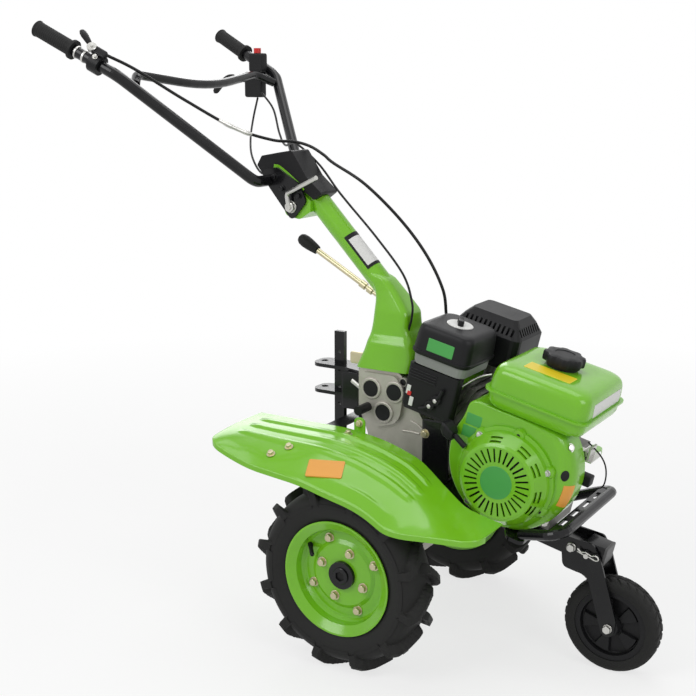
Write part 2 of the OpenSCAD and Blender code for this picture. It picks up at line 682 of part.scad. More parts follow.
module front_fork() color(black) placed() mirrored() difference() {
    plate(fork_outline, fork_gap / 2, fork_gap / 2 + fork_t);
    rod_y(pivot_x, pivot_z, pivot_r + run, 0, 100);
    rod_y(front_x, front_r, axle_r + run, 0, 100);
}

// Axle bolt of the front wheel, and the ends of the pin that locks the fork
module fork_pins() color("silver") placed() {
    rod_y(front_x, front_r, axle_r, -fork_gap / 2 - fork_t - 8, fork_gap / 2 + fork_t + 8);
    mirrored() rod_y(lock_pin[0], lock_pin[1], 5, fork_gap / 2 + fork_t, fork_gap / 2 + fork_t + 12);
}

// Front wheel: spoked plastic hub and a solid rubber tyre
front_tyre_t = 25;
front_hub_r = 20;
spokes = 5;

module at_front() placed() translate([front_x, 0, front_r]) rotate([90, 0, 0]) children();

module front_wheel_rim() color("black") at_front() {
    rim_out = front_r - front_tyre_t - gap;
    half = front_w / 2;
    difference() {
        rotate_extrude($fn = 96) polygon([[axle_r + run, -fork_gap / 2 + 1], [front_hub_r - 4, -fork_gap / 2 + 1],
            [front_hub_r, -8], [rim_out - 9, -6], [rim_out - 7, -half + 4], [rim_out, -half + 4],
            [rim_out, half - 4], [rim_out - 7, half - 4], [rim_out - 9, 6], [front_hub_r, 8],
            [front_hub_r - 4, fork_gap / 2 - 1], [axle_r + run, fork_gap / 2 - 1]]);
        for (k = [0:spokes - 1]) rotate([0, 0, k * 360 / spokes]) translate([0, 0, -fork_gap / 2]) linear_extrude(fork_gap)
            polygon(rounded([[front_hub_r + 7, -7, 4], [rim_out - 13, -27, 7], [rim_out - 13, 27, 7], [front_hub_r + 7, 7, 4]]));
    }
}

module front_wheel_tyre() color("black") at_front()
    rotate_extrude($fn = 96) polygon([[front_r - front_tyre_t, -front_w / 2 + 2], [front_r - 12, -front_w / 2],
        [front_r - 4, -front_w / 2 + 4], [front_r, -front_w / 2 + 11], [front_r, front_w / 2 - 11],
        [front_r - 4, front_w / 2 - 4], [front_r - 12, front_w / 2], [front_r - front_tyre_t, front_w / 2 - 2]]);

// Drive wheels
carcass_r = wheel_r - lug_h;
seat_r = rim_r - 16;
well_r = rim_r - 24;
disc_out = 14;
disc_step = 66;
hub_in = 70;
hub_out = 22;

module wheel_axle() color("silver") placed() {
    rod_y(0, wheel_r, journal_r, -axle_boss_half - 6, axle_boss_half + 6);
    for (s = [-1, 1]) translate([0, s * (axle_boss_half + 5), wheel_r]) rotate([-s * 90, 0, 0])
        cylinder(h = wheel_track / 2 + hub_out - 8 - axle_boss_half - 5, r = shaft_flats / 2 / cos(30), $fn = 6);
}

module wheel_hubs() color("black") mirrored() at_wheel() difference() {
    union() {
        translate([0, 0, -hub_in]) cylinder(h = hub_in + hub_out, r = hub_r);
        translate([0, 0, disc_out - 10]) cylinder(h = 6 - gap, r = disc_step - 6);
    }
    translate([0, 0, -hub_in - 1]) cylinder(h = hub_in + hub_out + 2, r = (shaft_flats / 2 + 0.1) / cos(30), $fn = 6);
}

module wheel_rims() color(green) mirrored() at_wheel() rotate_extrude($fn = 96) {
    h = rim_w / 2;
    polygon([[rim_r, -h], [rim_r, 3 - h], [seat_r, 12 - h], [seat_r - 2, -14], [well_r, -8], [well_r, 8],
        [seat_r - 2, 14], [seat_r, h - 12], [rim_r, h - 3], [rim_r, h], [rim_r - 4, h], [seat_r - 4, h - 11],
        [seat_r - 6, 16], [well_r - 3, 10], [well_r - 8, 9], [disc_step + 8, 9], [disc_step, disc_out],
        [hub_r + gap, disc_out], [hub_r + gap, disc_out - 4], [disc_step - 2, disc_out - 4], [disc_step + 6, 5],
        [well_r - 8, 5], [well_r - 3, 2], [well_r - 3, -10], [seat_r - 6, -16], [seat_r - 4, 11 - h], [rim_r - 4, -h]]);
}

// Tyre: a rounded carcass and two rows of slanted lugs
bead_half = rim_w / 2 - 13;
// Radius of the lugs' tips at the tyre's edge
shoulder_r = wheel_r - 16;

module tyre_right() color("black") at_wheel() intersection() {
    union() {
        rotate_extrude($fn = 96) polygon(concat(
            [for (a = [-80:20:80]) [seat_r + 34 + (carcass_r - seat_r - 34) * pow(cos(a), 0.6),
                (wheel_w / 2 - 4) * (a < 0 ? -1 : 1) * pow(abs(sin(a)), 0.75)]],
            [[seat_r + 12, bead_half + 4], [seat_r + gap, bead_half], [seat_r + gap, -bead_half], [seat_r + 12, -bead_half - 4]]));
        for (k = [0:lug_count - 1]) {
            rotate([0, 0, k * 360 / lug_count]) lug(1);
            rotate([0, 0, (k + 0.5) * 360 / lug_count]) lug(-1);
        }
    }
    rotate_extrude($fn = 96) polygon([[0, -wheel_w / 2], [shoulder_r, -wheel_w / 2], [wheel_r - 4, 14 - wheel_w / 2],
        [wheel_r, 28 - wheel_w / 2], [wheel_r, wheel_w / 2 - 28], [wheel_r - 4, wheel_w / 2 - 14],
        [shoulder_r, wheel_w / 2], [0, wheel_w / 2]]);
}

// One lug, from just past the middle to the tyre's edge on one side
lug_lap = 6;
lug_root = 24;

module lug(side) {
    lug_l = wheel_w / 2 / cos(lug_lean) + lug_lap + 12;
    translate([carcass_r - lug_root, 0, 0]) rotate([side * lug_lean, 0, 0])
        translate([0, -lug_t / 2, side > 0 ? -lug_lap : lug_lap - lug_l]) cube([lug_h + lug_root + 10, lug_t, lug_l]);
}

module tyre_left() mirror([0, 1, 0]) tyre_right();

gearbox_case();
gearbox_plugs();
hitch_bracket();
depth_bar();
handle_column();
column_head();
column_cover();
fender_right();
fender_left();
fender_brackets();
engine_frame();
front_beam();
beam_cap();
front_bumper();
engine_block();
fan_shroud();
starter_cover();
starter_pulley();
starter_handle();
fuel_tank();
fuel_cap();
air_cleaner_cover();
air_cleaner_base();
carburettor_cover();
muffler_guard();
belt_cover();
governor_control();
shift_lever();
shift_knob();
throttle_cable();
clutch_cable();
handle_bracket();
clamp_lever();
handle_tube_right();
handle_tube_left();
cross_bar();
grips();
hand_levers();
switch_box();
stop_button();
switch_wire();
front_fork();
fork_pins();
front_wheel_rim();
front_wheel_tyre();
wheel_axle();
wheel_hubs();
wheel_rims();
tyre_right();
tyre_left();
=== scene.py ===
import json
import bmesh
import bpy
import numpy as np
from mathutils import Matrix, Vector


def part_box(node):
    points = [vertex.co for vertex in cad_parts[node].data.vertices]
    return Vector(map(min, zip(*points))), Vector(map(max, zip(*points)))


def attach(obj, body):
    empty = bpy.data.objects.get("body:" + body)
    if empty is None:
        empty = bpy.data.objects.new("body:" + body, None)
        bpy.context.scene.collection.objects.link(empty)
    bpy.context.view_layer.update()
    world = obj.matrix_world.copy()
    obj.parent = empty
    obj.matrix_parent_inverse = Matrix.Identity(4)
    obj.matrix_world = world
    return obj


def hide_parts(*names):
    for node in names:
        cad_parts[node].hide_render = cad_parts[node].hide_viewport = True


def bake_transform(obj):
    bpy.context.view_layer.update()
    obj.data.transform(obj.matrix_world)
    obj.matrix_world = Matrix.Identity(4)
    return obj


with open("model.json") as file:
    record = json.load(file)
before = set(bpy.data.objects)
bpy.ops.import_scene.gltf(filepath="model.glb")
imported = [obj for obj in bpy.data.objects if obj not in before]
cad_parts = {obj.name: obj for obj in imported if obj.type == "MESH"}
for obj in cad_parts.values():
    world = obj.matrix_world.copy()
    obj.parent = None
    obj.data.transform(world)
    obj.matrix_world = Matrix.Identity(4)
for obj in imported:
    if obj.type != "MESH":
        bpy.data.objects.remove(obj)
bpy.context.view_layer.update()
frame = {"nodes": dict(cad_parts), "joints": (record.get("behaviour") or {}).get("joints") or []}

# Camera: the photographer stands ahead of the machine and to its right,
# a little above the engine, with a long lens.
axle_x = next(j["pos_m"][0] for j in frame["joints"] if j["name"] == "drive_wheels_spin")


def spots(points):
    """Millimetres from the ground under the drive axle, as metres in the shared frame:
    divided by a thousand, then shifted along X."""
    return np.asarray(points, float) / 1000 + [axle_x, 0, 0]


lens_mm, sensor_mm = 61.56, 36
eye = Vector(spots([1197.8, -2200.0, 1199.0]))
aim = Vector(spots([-160.7, 0, 599.8]))
camera = bpy.data.objects.new("camera", bpy.data.cameras.new("camera"))
camera.data.sensor_width, camera.data.lens = sensor_mm, lens_mm
camera.data.clip_end = 60
camera.location = eye
camera.rotation_mode = "QUATERNION"
camera.rotation_quaternion = (aim - eye).to_track_quat("-Z", "Y")
bpy.context.scene.collection.objects.link(camera)
bpy.context.scene.camera = camera
bpy.context.scene.view_settings.view_transform = "Standard"


# Floor and light: a white studio sweep under four soft boxes.
# The floor is matt board that keeps the machine's shadow and runs out to white.
class Tint:
    """One socket in a material's nodes. Operators on it add Math nodes, and node() adds any other kind."""

    def __init__(self, tree, socket):
        self.tree, self.socket = tree, socket

    def node(self, kind, sockets, out=0, **settings):
        """A new node: its settings first, then a value or a link for each socket.
        Gives one of its outputs."""
        new = self.tree.nodes.new(kind)
        for name, value in settings.items():
            setattr(new, name, value)
        for name, value in sockets.items():
            if isinstance(value, Tint):
                self.tree.links.new(value.socket, new.inputs[name])
            else:
                new.inputs[name].default_value = value
        return Tint(self.tree, new.outputs[out])

    def sum(self, operation, a, b):
        return self.node("ShaderNodeMath", {0: a, 1: b}, operation=operation)

    def __add__(self, other):
        return self.sum("ADD", self, other)

    __radd__ = __add__

    def __mul__(self, other):
        return self.sum("MULTIPLY", self, other)

    __rmul__ = __mul__

    def over(self, limit, soft):
        """0 below the limit, 1 above it, with a soft step between."""
        ends = {"Value": self, "From Min": limit - soft, "From Max": limit + soft}
        return self.node("ShaderNodeMapRange", ends)

    def blend(self, low, high):
        """A colour between low and high, where this value is the share of high."""
        return self.node("ShaderNodeMix", {0: self, 6: low, 7: high}, out=2, data_type="RGBA")


def new_finish(name, **plain):
    """A material whose main shader has the plain values given.
    Gives the material, its shader and Object coordinates."""
    finish = bpy.data.materials.new(name)
    finish.use_nodes = True
    tree = finish.node_tree
    shader = tree.nodes["Principled BSDF"]
    for socket, value in plain.items():
        shader.inputs[socket.replace("_", " ")].default_value = value
    return finish, shader, Tint(tree, tree.nodes.new("ShaderNodeTexCoord").outputs["Object"])


def noise(here, scale, detail=2.0, rough=0.5):
    """Cloudy noise over Object coordinates: its scale in waves a metre, its detail in octaves."""
    sockets = {"Vector": here, "Scale": scale, "Detail": detail, "Roughness": rough}
    return here.node("ShaderNodeTexNoise", sockets)


def feed(shader, **tints):
    """Links each tint to the shader's socket of that name."""
    for name, tint in tints.items():
        tint.tree.links.new(tint.socket, shader.inputs[name.replace("_", " ")])


def seen_share(tint):
    """1 for rays from the camera, from a mirror-like surface or through glass,
    and 0 for the light that falls on things."""
    path = tint.node("ShaderNodeLightPath", {})
    rays = path.socket.node.outputs
    total = path + Tint(tint.tree, rays["Is Glossy Ray"]) + Tint(tint.tree, rays["Is Transmission Ray"])
    return total.node("ShaderNodeMath", {0: total, 1: 1.0}, operation="MINIMUM")


def make_floor(half, white_share, n=9):
    """A flat square grid of n by n points: x and y run over plus and minus half, z is 0.
    It turns white with the distance from the middle, between the two ends of a fade."""
    x, y = np.meshgrid(np.linspace(-half, half, n), np.linspace(-half, half, n), indexing="ij")
    points = np.stack([x, y, np.zeros_like(x)], -1).reshape(-1, 3)
    i, j = np.meshgrid(np.arange(n - 1), np.arange(n - 1), indexing="ij")
    faces = np.stack([i * n + j, (i + 1) * n + j, (i + 1) * n + j + 1, i * n + j + 1], -1).reshape(-1, 4)
    mesh = bpy.data.meshes.new("floor")
    mesh.from_pydata(points.tolist(), [], faces.tolist())
    floor = bpy.data.objects.new("floor", mesh)
    bpy.context.scene.collection.objects.link(floor)
    finish, shader, here = new_finish("floor_board", Roughness=0.9, Specular_IOR_Level=0.1)
    feed(shader, Base_Color=noise(here, 3.0).blend((0.86, 0.86, 0.86, 1), (0.9, 0.9, 0.9, 1)))
    glow = here.node("ShaderNodeEmission", {"Color": (1, 1, 1, 1), "Strength": 1.0})
    board = Tint(here.tree, shader.outputs[0])
    reach = here.node("ShaderNodeVectorMath", {0: here}, out=1, operation="LENGTH")
    fade_middle, fade_half = 2.1, 0.9
    share = seen_share(here) * (white_share + (1 - white_share) * reach.over(fade_middle, fade_half))
    mixed = here.node("ShaderNodeMixShader", {0: share, 1: board, 2: glow})
    here.tree.links.new(mixed.socket, here.tree.nodes["Material Output"].inputs["Surface"])
    mesh.materials.append(finish)


make_floor(half=30, white_share=0.72)
world = bpy.data.worlds.new("studio")
bpy.context.scene.world = world
world.use_nodes = True
sky = world.node_tree.nodes["Background"]
sky.inputs["Color"].default_value = (1, 1, 1, 1)
ambient = 0.3
sky_strength = ambient + (1 - ambient) * seen_share(Tint(world.node_tree, sky.outputs[0]))
world.node_tree.links.new(sky_strength.socket, sky.inputs["Strength"])
lamp_aim = Vector((0, 0, 0.55))
# Soft boxes: place, size in metres and watts
for name, place, size, watts in [("key", (-1.6, -3.4, 3.4), 2.4, 80), ("side", (3.6, -1.6, 2.4), 2.0, 46),
                                 ("top", (0.0, 0.6, 4.2), 3.0, 54), ("rear", (-2.4, 3.2, 2.6), 2.0, 36)]:
    lamp = bpy.data.lights.new(name, "AREA")
    lamp.energy, lamp.size = watts, size
    box = bpy.data.objects.new(name, lamp)
    box.location = place
    box.rotation_euler = (lamp_aim - Vector(place)).to_track_quat("-Z", "Y").to_euler()
    bpy.context.scene.collection.objects.link(box)


# Column, fenders, shroud, starter, tank, belt cover and rims: pressed steel sheet,
# sprayed lime green and oven cured, so it is glossy with a faint orange peel.
def dress(finish, *names):
    """Gives the CAD nodes of these names one finish."""
    for name in names:
        mesh = frame["nodes"][name].data
        mesh.materials.clear()
        mesh.materials.append(finish)


def relief(height, strength, depth):
    """Bump from a height, at most this many metres deep."""
    return height.node("ShaderNodeBump", {"Height": height, "Strength": strength, "Distance": depth})


def sprayed(name, low, high, rough, coat, peel, shine):
    """Paint whose colour drifts between two tones, whose gloss dulls in faint patches,
    with a fine ripple on top."""
    finish, shader, here = new_finish(name, Coat_Roughness=0.06, Specular_IOR_Level=shine)
    drift, patches, ripple = noise(here, 5.0, 3.0), noise(here, 28.0, 4.0), noise(here, 380.0, 1.0)
    feed(shader, Base_Color=drift.blend(low, high), Roughness=patches * 0.14 + (rough - 0.07),
         Coat_Weight=patches * coat, Normal=relief(ripple, peel, 0.0004))
    return finish


green_paint = sprayed("green_paint", (0.16, 0.46, 0.01, 1), (0.195, 0.53, 0.015, 1),
                      rough=0.2, coat=0.5, peel=0.05, shine=0.4)
dress(green_paint, "column_head", "starter_cover", "belt_cover", "wheel_rims")

# Frame, hitch, bumper, fork and handle tubes: steel tube and plate,
# powder coated black with a soft gloss.
black_paint = sprayed("black_paint", (0.004, 0.004, 0.005, 1), (0.008, 0.008, 0.009, 1),
                      rough=0.2, coat=0.2, peel=0.06, shine=0.25)
dress(black_paint, "hitch_bracket", "depth_bar", "fender_brackets", "engine_frame", "front_beam",
      "front_bumper", "handle_bracket", "handle_tube_right", "handle_tube_left", "cross_bar", "front_fork",
      "wheel_hubs")


# Covers, knobs and boxes: nylon mouldings with a spark-eroded grain,
# snapped or screwed on.
def moulded(name, low, high, rough, grain, shine=0.5):
    """Plastic with a fine even grain, and gloss that varies where hands and dust have been."""
    finish, shader, here = new_finish(name, Specular_IOR_Level=shine)
    pores, haze = noise(here, 1100.0, 2.0), noise(here, 16.0, 4.0)
    feed(shader, Base_Color=haze.blend(low, high), Roughness=haze * 0.2 + (rough - 0.1),
         Normal=relief(pores, grain, 0.0003))
    return finish


black_plastic = moulded("black_plastic", (0.006, 0.006, 0.007, 1), (0.012, 0.012, 0.013, 1), 0.42, 0.12, 0.2)
dress(black_plastic, "column_cover", "gearbox_plugs", "starter_pulley", "starter_handle", "carburettor_cover",
      "muffler_guard", "hand_levers")
grey_plastic = moulded("grey_plastic", (0.2, 0.205, 0.2, 1), (0.27, 0.275, 0.27, 1), 0.42, 0.1)
dress(grey_plastic, "air_cleaner_base")
red_plastic = moulded("red_plastic", (0.55, 0.008, 0.008, 1), (0.68, 0.016, 0.012, 1), 0.3, 0.04)
dress(red_plastic, "stop_button")


# Gearbox and engine block: die-cast aluminium, blasted,
# with tones that drift at random between a darker and a lighter one, and a sandy skin.
def cast_metal(name, low, high):
    """Cast skin: pitted on two scales, with dull stains between a low and a high tone."""
    finish, shader, here = new_finish(name, Metallic=0.75)
    stains, sand = noise(here, 22.0, 6.0, 0.65), noise(here, 520.0, 3.0)
    pits = here.node("ShaderNodeTexVoronoi", {"Vector": here, "Scale": 160.0})
    feed(shader, Base_Color=stains.blend(low, high), Roughness=stains * 0.25 + 0.4,
         Normal=relief(sand + pits * 0.6, 0.35, 0.0006))
    return finish


cast_aluminium = cast_metal("cast_aluminium", (0.3, 0.285, 0.25, 1), (0.55, 0.53, 0.48, 1))
dress(cast_aluminium, "gearbox_case")
# Painted shade: the engine block's cast metal is kept dark to stand in for the shadow over its fins.
shade_dark_casting = cast_metal("shade_dark_casting", (0.1, 0.098, 0.09, 1), (0.22, 0.215, 0.2, 1))
dress(shade_dark_casting, "engine_block")


# Levers, pins and shafts: drawn steel, zinc plated bright or yellow,
# with a cloudy passivated skin.
def plated(name, low, high, rough):
    """Plating that clouds between two tones, with fine draw marks in its gloss."""
    finish, shader, here = new_finish(name, Metallic=1.0)
    cloud, marks = noise(here, 45.0, 3.0), noise(here, 900.0)
    feed(shader, Base_Color=cloud.blend(low, high), Roughness=cloud * 0.2 + rough,
         Normal=relief(marks, 0.06, 0.0002))
    return finish


bright_zinc = plated("bright_zinc", (0.45, 0.45, 0.43, 1), (0.62, 0.61, 0.58, 1), 0.2)
dress(bright_zinc, "governor_control", "clamp_lever", "fork_pins", "wheel_axle")
yellow_zinc = plated("yellow_zinc", (0.42, 0.38, 0.24, 1), (0.6, 0.55, 0.38, 1), 0.25)


# Drive tyres: moulded rubber, matt black and greyed a little by dust,
# with twelve slanted lugs on each side, mounted on the dished rims.
def moulded_rubber(name, low, high, grain, scale):
    """Rubber with dusty patches between two tones and a fine grain."""
    finish, shader, here = new_finish(name, Specular_IOR_Level=0.2)
    dust, skin_grain = noise(here, 14.0, 6.0, 0.7), noise(here, scale, 3.0)
    feed(shader, Base_Color=dust.blend(low, high), Roughness=dust * 0.25 + 0.5,
         Normal=relief(skin_grain, grain, 0.0005))
    return finish


tyre_rubber = moulded_rubber("tyre_rubber", (0.009, 0.009, 0.009, 1), (0.022, 0.022, 0.021, 1), 0.25, 420.0)


def link(name, points, faces, finish, body, replaced, bend):
    """A mesh object with outward faces and one finish, riding on a body."""
    mesh = bpy.data.meshes.new(name)
    mesh.from_pydata(np.asarray(points).reshape(-1, 3).tolist(), [], faces)
    work = bmesh.new()
    work.from_mesh(mesh)
    bmesh.ops.recalc_face_normals(work, faces=work.faces)
    work.to_mesh(mesh)
    work.free()
    mesh.materials.append(finish)
    mesh.shade_smooth()
    mesh.set_sharp_from_angle(angle=np.radians(bend))
    piece = bpy.data.objects.new(name, mesh)
    bpy.context.scene.collection.objects.link(piece)
    if replaced:
        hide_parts(*replaced)
    if body:
        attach(piece, body)
    return piece


# Slots of the finishes that are not called what their slot is
slots = {"bright_zinc": "zinc", "yellow_zinc": "zinc", "grip_rubber": "rubber", "green_vinyl": "green_paint",
         "dark_plastic": "grey_plastic", "yellow_vinyl": "grey_plastic", "orange_vinyl": "grey_plastic",
         "white_vinyl": "grey_plastic"}


def skin(name, grids, finish, body="chassis", slot=None, replaced=(), bend=35, looped=False):
    """One piece from grids shaped copies x rings x points x 3: quads join each ring to the next
    and close it on itself, and flat caps close the first and last ring.
    A looped grid joins its last ring to its first instead. The slot is worked out, the finish's own unless
    given, but nothing uses it."""
    grids = np.asarray(grids, float)
    grids = grids.reshape(-1, *grids.shape[-3:])
    copies, m, n = grids.shape[:3]
    i, j = np.meshgrid(np.arange(m if looped else m - 1), np.arange(n), indexing="ij")
    up, on = (i + 1) % m, (j + 1) % n
    quads = np.stack([i * n + j, i * n + on, up * n + on, up * n + j], -1).reshape(-1, 4)
    start = np.arange(copies)[:, None, None] * m * n
    faces = (quads[None] + start).reshape(-1, 4).tolist()
    if not looped:
        ends = np.stack([np.arange(n)[::-1], (m - 1) * n + np.arange(n)])
        faces += (ends[None] + start).reshape(-1, n).tolist()
    # Blender adds a number to a name that is already taken
    plain_name = finish.name.split(".")[0]
    slot = slot or slots.get(plain_name, plain_name)
    return link(name, grids, faces, finish, body, replaced, bend)


def around(n):
    """Angles of n even steps round a full turn."""
    return np.linspace(0, 2 * np.pi, n, endpoint=False)


half_track, axle_h = 267, 200


def wheel_spots(r, angle, out, side):
    """Points on a drive wheel: radius, angle from the front and distance outwards from the tyre's
    middle plane, as x = r cos, z = axle height + r sin, and y counted out from half the track."""
    r, angle, out = np.broadcast_arrays(r, angle, out)
    return spots(np.stack([r * np.cos(angle), side * (half_track + out), axle_h + r * np.sin(angle)], -1))


def lugged_tyre(name, side, node):
    """A tyre section carried round the axle. Two sections are mixed by a mask that is 1 on a lug:
    the round carcass, and the lug's stepped outline. The mask is a band that leans back from the
    middle, once per lug and side. Sections are rows of radius and distance out."""
    lugs, lean, thick, lap, cols = 12, np.radians(42), 15.0, 6.0, 660
    lug_foot, lug_mid, edge = 158.9, 192, 2.4
    wall = np.array([[106.3, -30], [118, -34.5], [134, -44], [150, -48.6], [159, -49.5]])
    t = np.linspace(-1, 1, 61)
    a = t * np.radians(84)
    crown_r = 140 + 43 * np.cos(a) ** 0.6
    crown_z = 49.5 * np.sign(a) * np.abs(np.sin(a)) ** 0.75
    corners = np.array([[159, -52], [178, -53.5], [186, -52], [197, -39], [200, -25],
                        [200, 25], [197, 39], [186, 52], [178, 53.5], [159, 52]])
    run = np.concatenate([[0], np.cumsum(np.hypot(*np.diff(corners, axis=0).T))])
    lug_r = np.interp((t + 1) / 2 * run[-1], run, corners[:, 0])
    lug_z = np.interp((t + 1) / 2 * run[-1], run, corners[:, 1])
    flip = wall[::-1] * [1, -1]
    base_r = np.concatenate([wall[:, 0], crown_r, flip[:, 0]])
    base_z = np.concatenate([wall[:, 1], crown_z, flip[:, 1]])
    high_r = np.concatenate([wall[:, 0], lug_r, flip[:, 0]])
    high_z = np.concatenate([wall[:, 1], lug_z, flip[:, 1]])
    turn = around(cols)[:, None]
    pitch = 2 * np.pi * lug_mid / lugs

    def band(z, phase):
        across = (turn * lug_mid + np.tan(lean) * z - phase * pitch + pitch / 2) % pitch - pitch / 2
        inside = np.clip((thick / 2 - np.abs(across) * np.cos(lean)) / edge + 0.5, 0, 1)
        return inside * np.clip((z + lap) / edge + 0.5, 0, 1)

    mask = np.maximum(band(high_z, 0), band(-high_z, 0.5))
    mask = mask * mask * (3 - 2 * mask) * (high_r > lug_foot)
    r = base_r + (high_r - base_r) * mask
    z = base_z + (high_z - base_z) * mask
    return skin(name, wheel_spots(r, turn, z, side), tyre_rubber, "drive_wheels", replaced=[node],
                looped=True, bend=50)


lugged_tyre("drive_tyre_right", -1, "tyre_right")
lugged_tyre("drive_tyre_left", 1, "tyre_left")


# Bolts on the wheels' discs and hubs: hexagon heads on washers,
# yellow zinc, four on the disc and four nearer the hub of each wheel.
def polar(r, a, h):
    """Rings from a radius, an angle and a height: x = r cos a, y = r sin a, z = h."""
    return np.stack(np.broadcast_arrays(r * np.cos(a), r * np.sin(a), h), -1)


def turned(profile, n=32):
    """A profile of radius and height carried round the upright axis in n steps."""
    r, h = np.asarray(profile, float).T
    return polar(r[:, None], around(n), h[:, None])


def hexagon(half_flats, a):
    """Radius of a hexagon at each angle: half its flats over the cosine of the angle
    from the nearest flat."""
    return half_flats / np.cos((a + np.pi / 6) % (np.pi / 3) - np.pi / 6)


def hex_head(flats, height, washer_r, washer_t=1.6):
    """A washer under a hexagon, whose top corners are chamfered by pulling the last rings in to a circle."""
    a = around(36)
    six = hexagon(flats / 2, a)
    disc = np.full(36, 1.0)
    radius = np.stack([washer_r * disc, washer_r * disc, (washer_r - 0.4) * disc, six, six,
                       np.minimum(six, flats * 0.53), flats * 0.46 * disc, flats * 0.3 * disc])
    h = washer_t + np.array([-washer_t, -0.4, 0, 0.02, height * 0.75, height * 0.92, height, height])
    return polar(radius, a, h[:, None])


def fixed(shape, places, outward, spin=0.0):
    """Copies of a small shape, each with its own up turned to the outward direction,
    at places in millimetres."""
    out = np.broadcast_to(np.asarray(outward, float), np.shape(places))
    out = out / np.linalg.norm(out, axis=-1, keepdims=True)
    ref = np.where(np.abs(out[:, 2:]) < 0.9, [[0.0, 0, 1]], [[1.0, 0, 0]])
    side = np.cross(ref, out)
    side /= np.linalg.norm(side, axis=-1, keepdims=True)
    rise = np.cross(out, side)
    c, s = np.cos(spin), np.sin(spin)
    x = shape[..., 0] * c - shape[..., 1] * s
    y = shape[..., 0] * s + shape[..., 1] * c
    world_shape = (x[None, ..., None] * side[:, None, None] + y[None, ..., None] * rise[:, None, None]
                   + shape[..., 2][None, ..., None] * out[:, None, None])
    return spots(world_shape + np.asarray(places, float)[:, None, None])


wheel_bolts = []
for side in (-1, 1):
    # Radius of the bolts' circle, angle of the first bolt and distance out
    for r, phase, out in [(80, 25, 9), (52, 70, 14)]:
        a = np.radians(phase + 90 * np.arange(4))
        places = np.stack([r * np.cos(a), np.full(4, side * (half_track + out)), axle_h + r * np.sin(a)], -1)
        wheel_bolts.append(fixed(hex_head(14, 8, 10.5), places, [0, side, 0]))
skin("wheel_bolts", np.concatenate(wheel_bolts), yellow_zinc, "drive_wheels")

# Valves: rubber stems with a moulded cap, one through each rim's sloping wall,
# leaning in towards the hub and outwards.
valve_profile = [(4, -6), (5.4, -5), (5.4, 6), (4.6, 9), (4, 22), (4.6, 22.5), (4.6, 33), (3.4, 35),
                 (0.8, 35.5)]
valve_r, valve_out, valve_angle = 95, 10, np.radians(149)
valve_x, valve_z = valve_r * np.cos(valve_angle), axle_h + valve_r * np.sin(valve_angle)
valves = [fixed(turned(valve_profile, 20), [[valve_x, side * (half_track + valve_out), valve_z]],
                [-np.cos(valve_angle), side, -np.sin(valve_angle)]) for side in (-1, 1)]
skin("tyre_valves", np.concatenate(valves), black_plastic, "drive_wheels", "rubber")

# Front wheel's tyre: solid rubber pressed over the moulded hub,
# with a shallow chevron tread cut into its crown.
front_x, front_h = 478, 100


def tread_ring(blocks, deep):
    """A tyre section carried round the axle; the crown drops by the groove depth where the angle,
    counted in blocks and shifted with the distance from the middle, falls near half a block,
    and along the middle. Sections are rows of radius and distance out."""
    section = np.array([[75, -22], [84, -23.6], [88, -24], [93, -22.4], [96, -20]])
    crown = np.stack([100 - 4 * np.abs(np.linspace(-1, 1, 31)) ** 6, np.linspace(-19, 19, 31)], -1)
    r, out = np.concatenate([section, crown, section[::-1] * [1, -1]]).T
    angle = around(480)[:, None]
    phase = (angle / (2 * np.pi) * blocks + np.abs(out) / 24) % 1
    cut = np.clip((0.16 - np.abs(phase - 0.5)) / 0.04, 0, 1) * np.clip((19.5 - np.abs(out)) / 1.2, 0, 1)
    cut = np.maximum(cut, np.clip((1.8 - np.abs(out)) / 0.6, 0, 1) + 0 * angle)
    r = r - deep * cut
    return spots(np.stack([front_x + r * np.cos(angle), out + 0 * r, front_h + r * np.sin(angle)], -1))


skin("front_tread", tread_ring(30, 2.4), tyre_rubber, "front_wheel", replaced=["front_wheel_tyre"],
     looped=True, bend=50)

# Grips: soft rubber sleeves pushed over the tubes, with a flange,
# finger rings and a rounded end.
grip_rubber = moulded_rubber("grip_rubber", (0.009, 0.009, 0.009, 1), (0.018, 0.018, 0.018, 1), 0.2, 900.0)
grip_end = np.array([-746.0, -318, 1292])
grip_run = np.array([-548.0, -286, 1191]) - grip_end
grip_l, grip_r, grip_rings, grip_bore = 107, 16.3, 22, 13.2
along = np.linspace(0, grip_l, 120)
rings = 0.45 * np.cos(along / grip_l * 2 * np.pi * grip_rings) * (along > 14) * (along < 92)
bead = 2.0 * np.exp(-((along - 5) / 5) ** 2)
flange = 5 * np.clip((along - 99) / 1.5, 0, 1)
end_share = np.clip(along / 6, 0.02, 1)
radius = (grip_r + rings + bead + flange) * np.sqrt(end_share * (2 - end_share))
grip_shape = turned(np.stack([np.append(radius, grip_bore), np.append(along, grip_l)], -1), 40)
both_ends = np.stack([grip_end, grip_end * [1, -1, 1]])
both_runs = np.stack([grip_run, grip_run * [1, -1, 1]])
skin("hand_grips", fixed(grip_shape, both_ends, both_runs), grip_rubber, "handlebar", replaced=["grips"])


# Cables: black sheathed wires from the handlebar's levers down to the engine and the column's foot.
# The throttle cable has a steel adjuster in line.
def through(points, per):
    """A smooth curve through points: each stretch is the cubic that leaves and meets its ends
    along their neighbours' chord."""
    p = np.asarray(points, float)
    p = np.concatenate([2 * p[:1] - p[1:2], p, 2 * p[-1:] - p[-2:-1]])
    t = np.linspace(0, 1, per, endpoint=False)[None, :, None]
    a, b, c, d = p[:-3, None], p[1:-2, None], p[2:-1, None], p[3:, None]
    curve = 0.5 * (2 * b + (c - a) * t + (2 * a - 5 * b + 4 * c - d) * t ** 2
                   + (3 * b - a - 3 * c + d) * t ** 3)
    return np.concatenate([curve.reshape(-1, 3), p[-2:-1]])


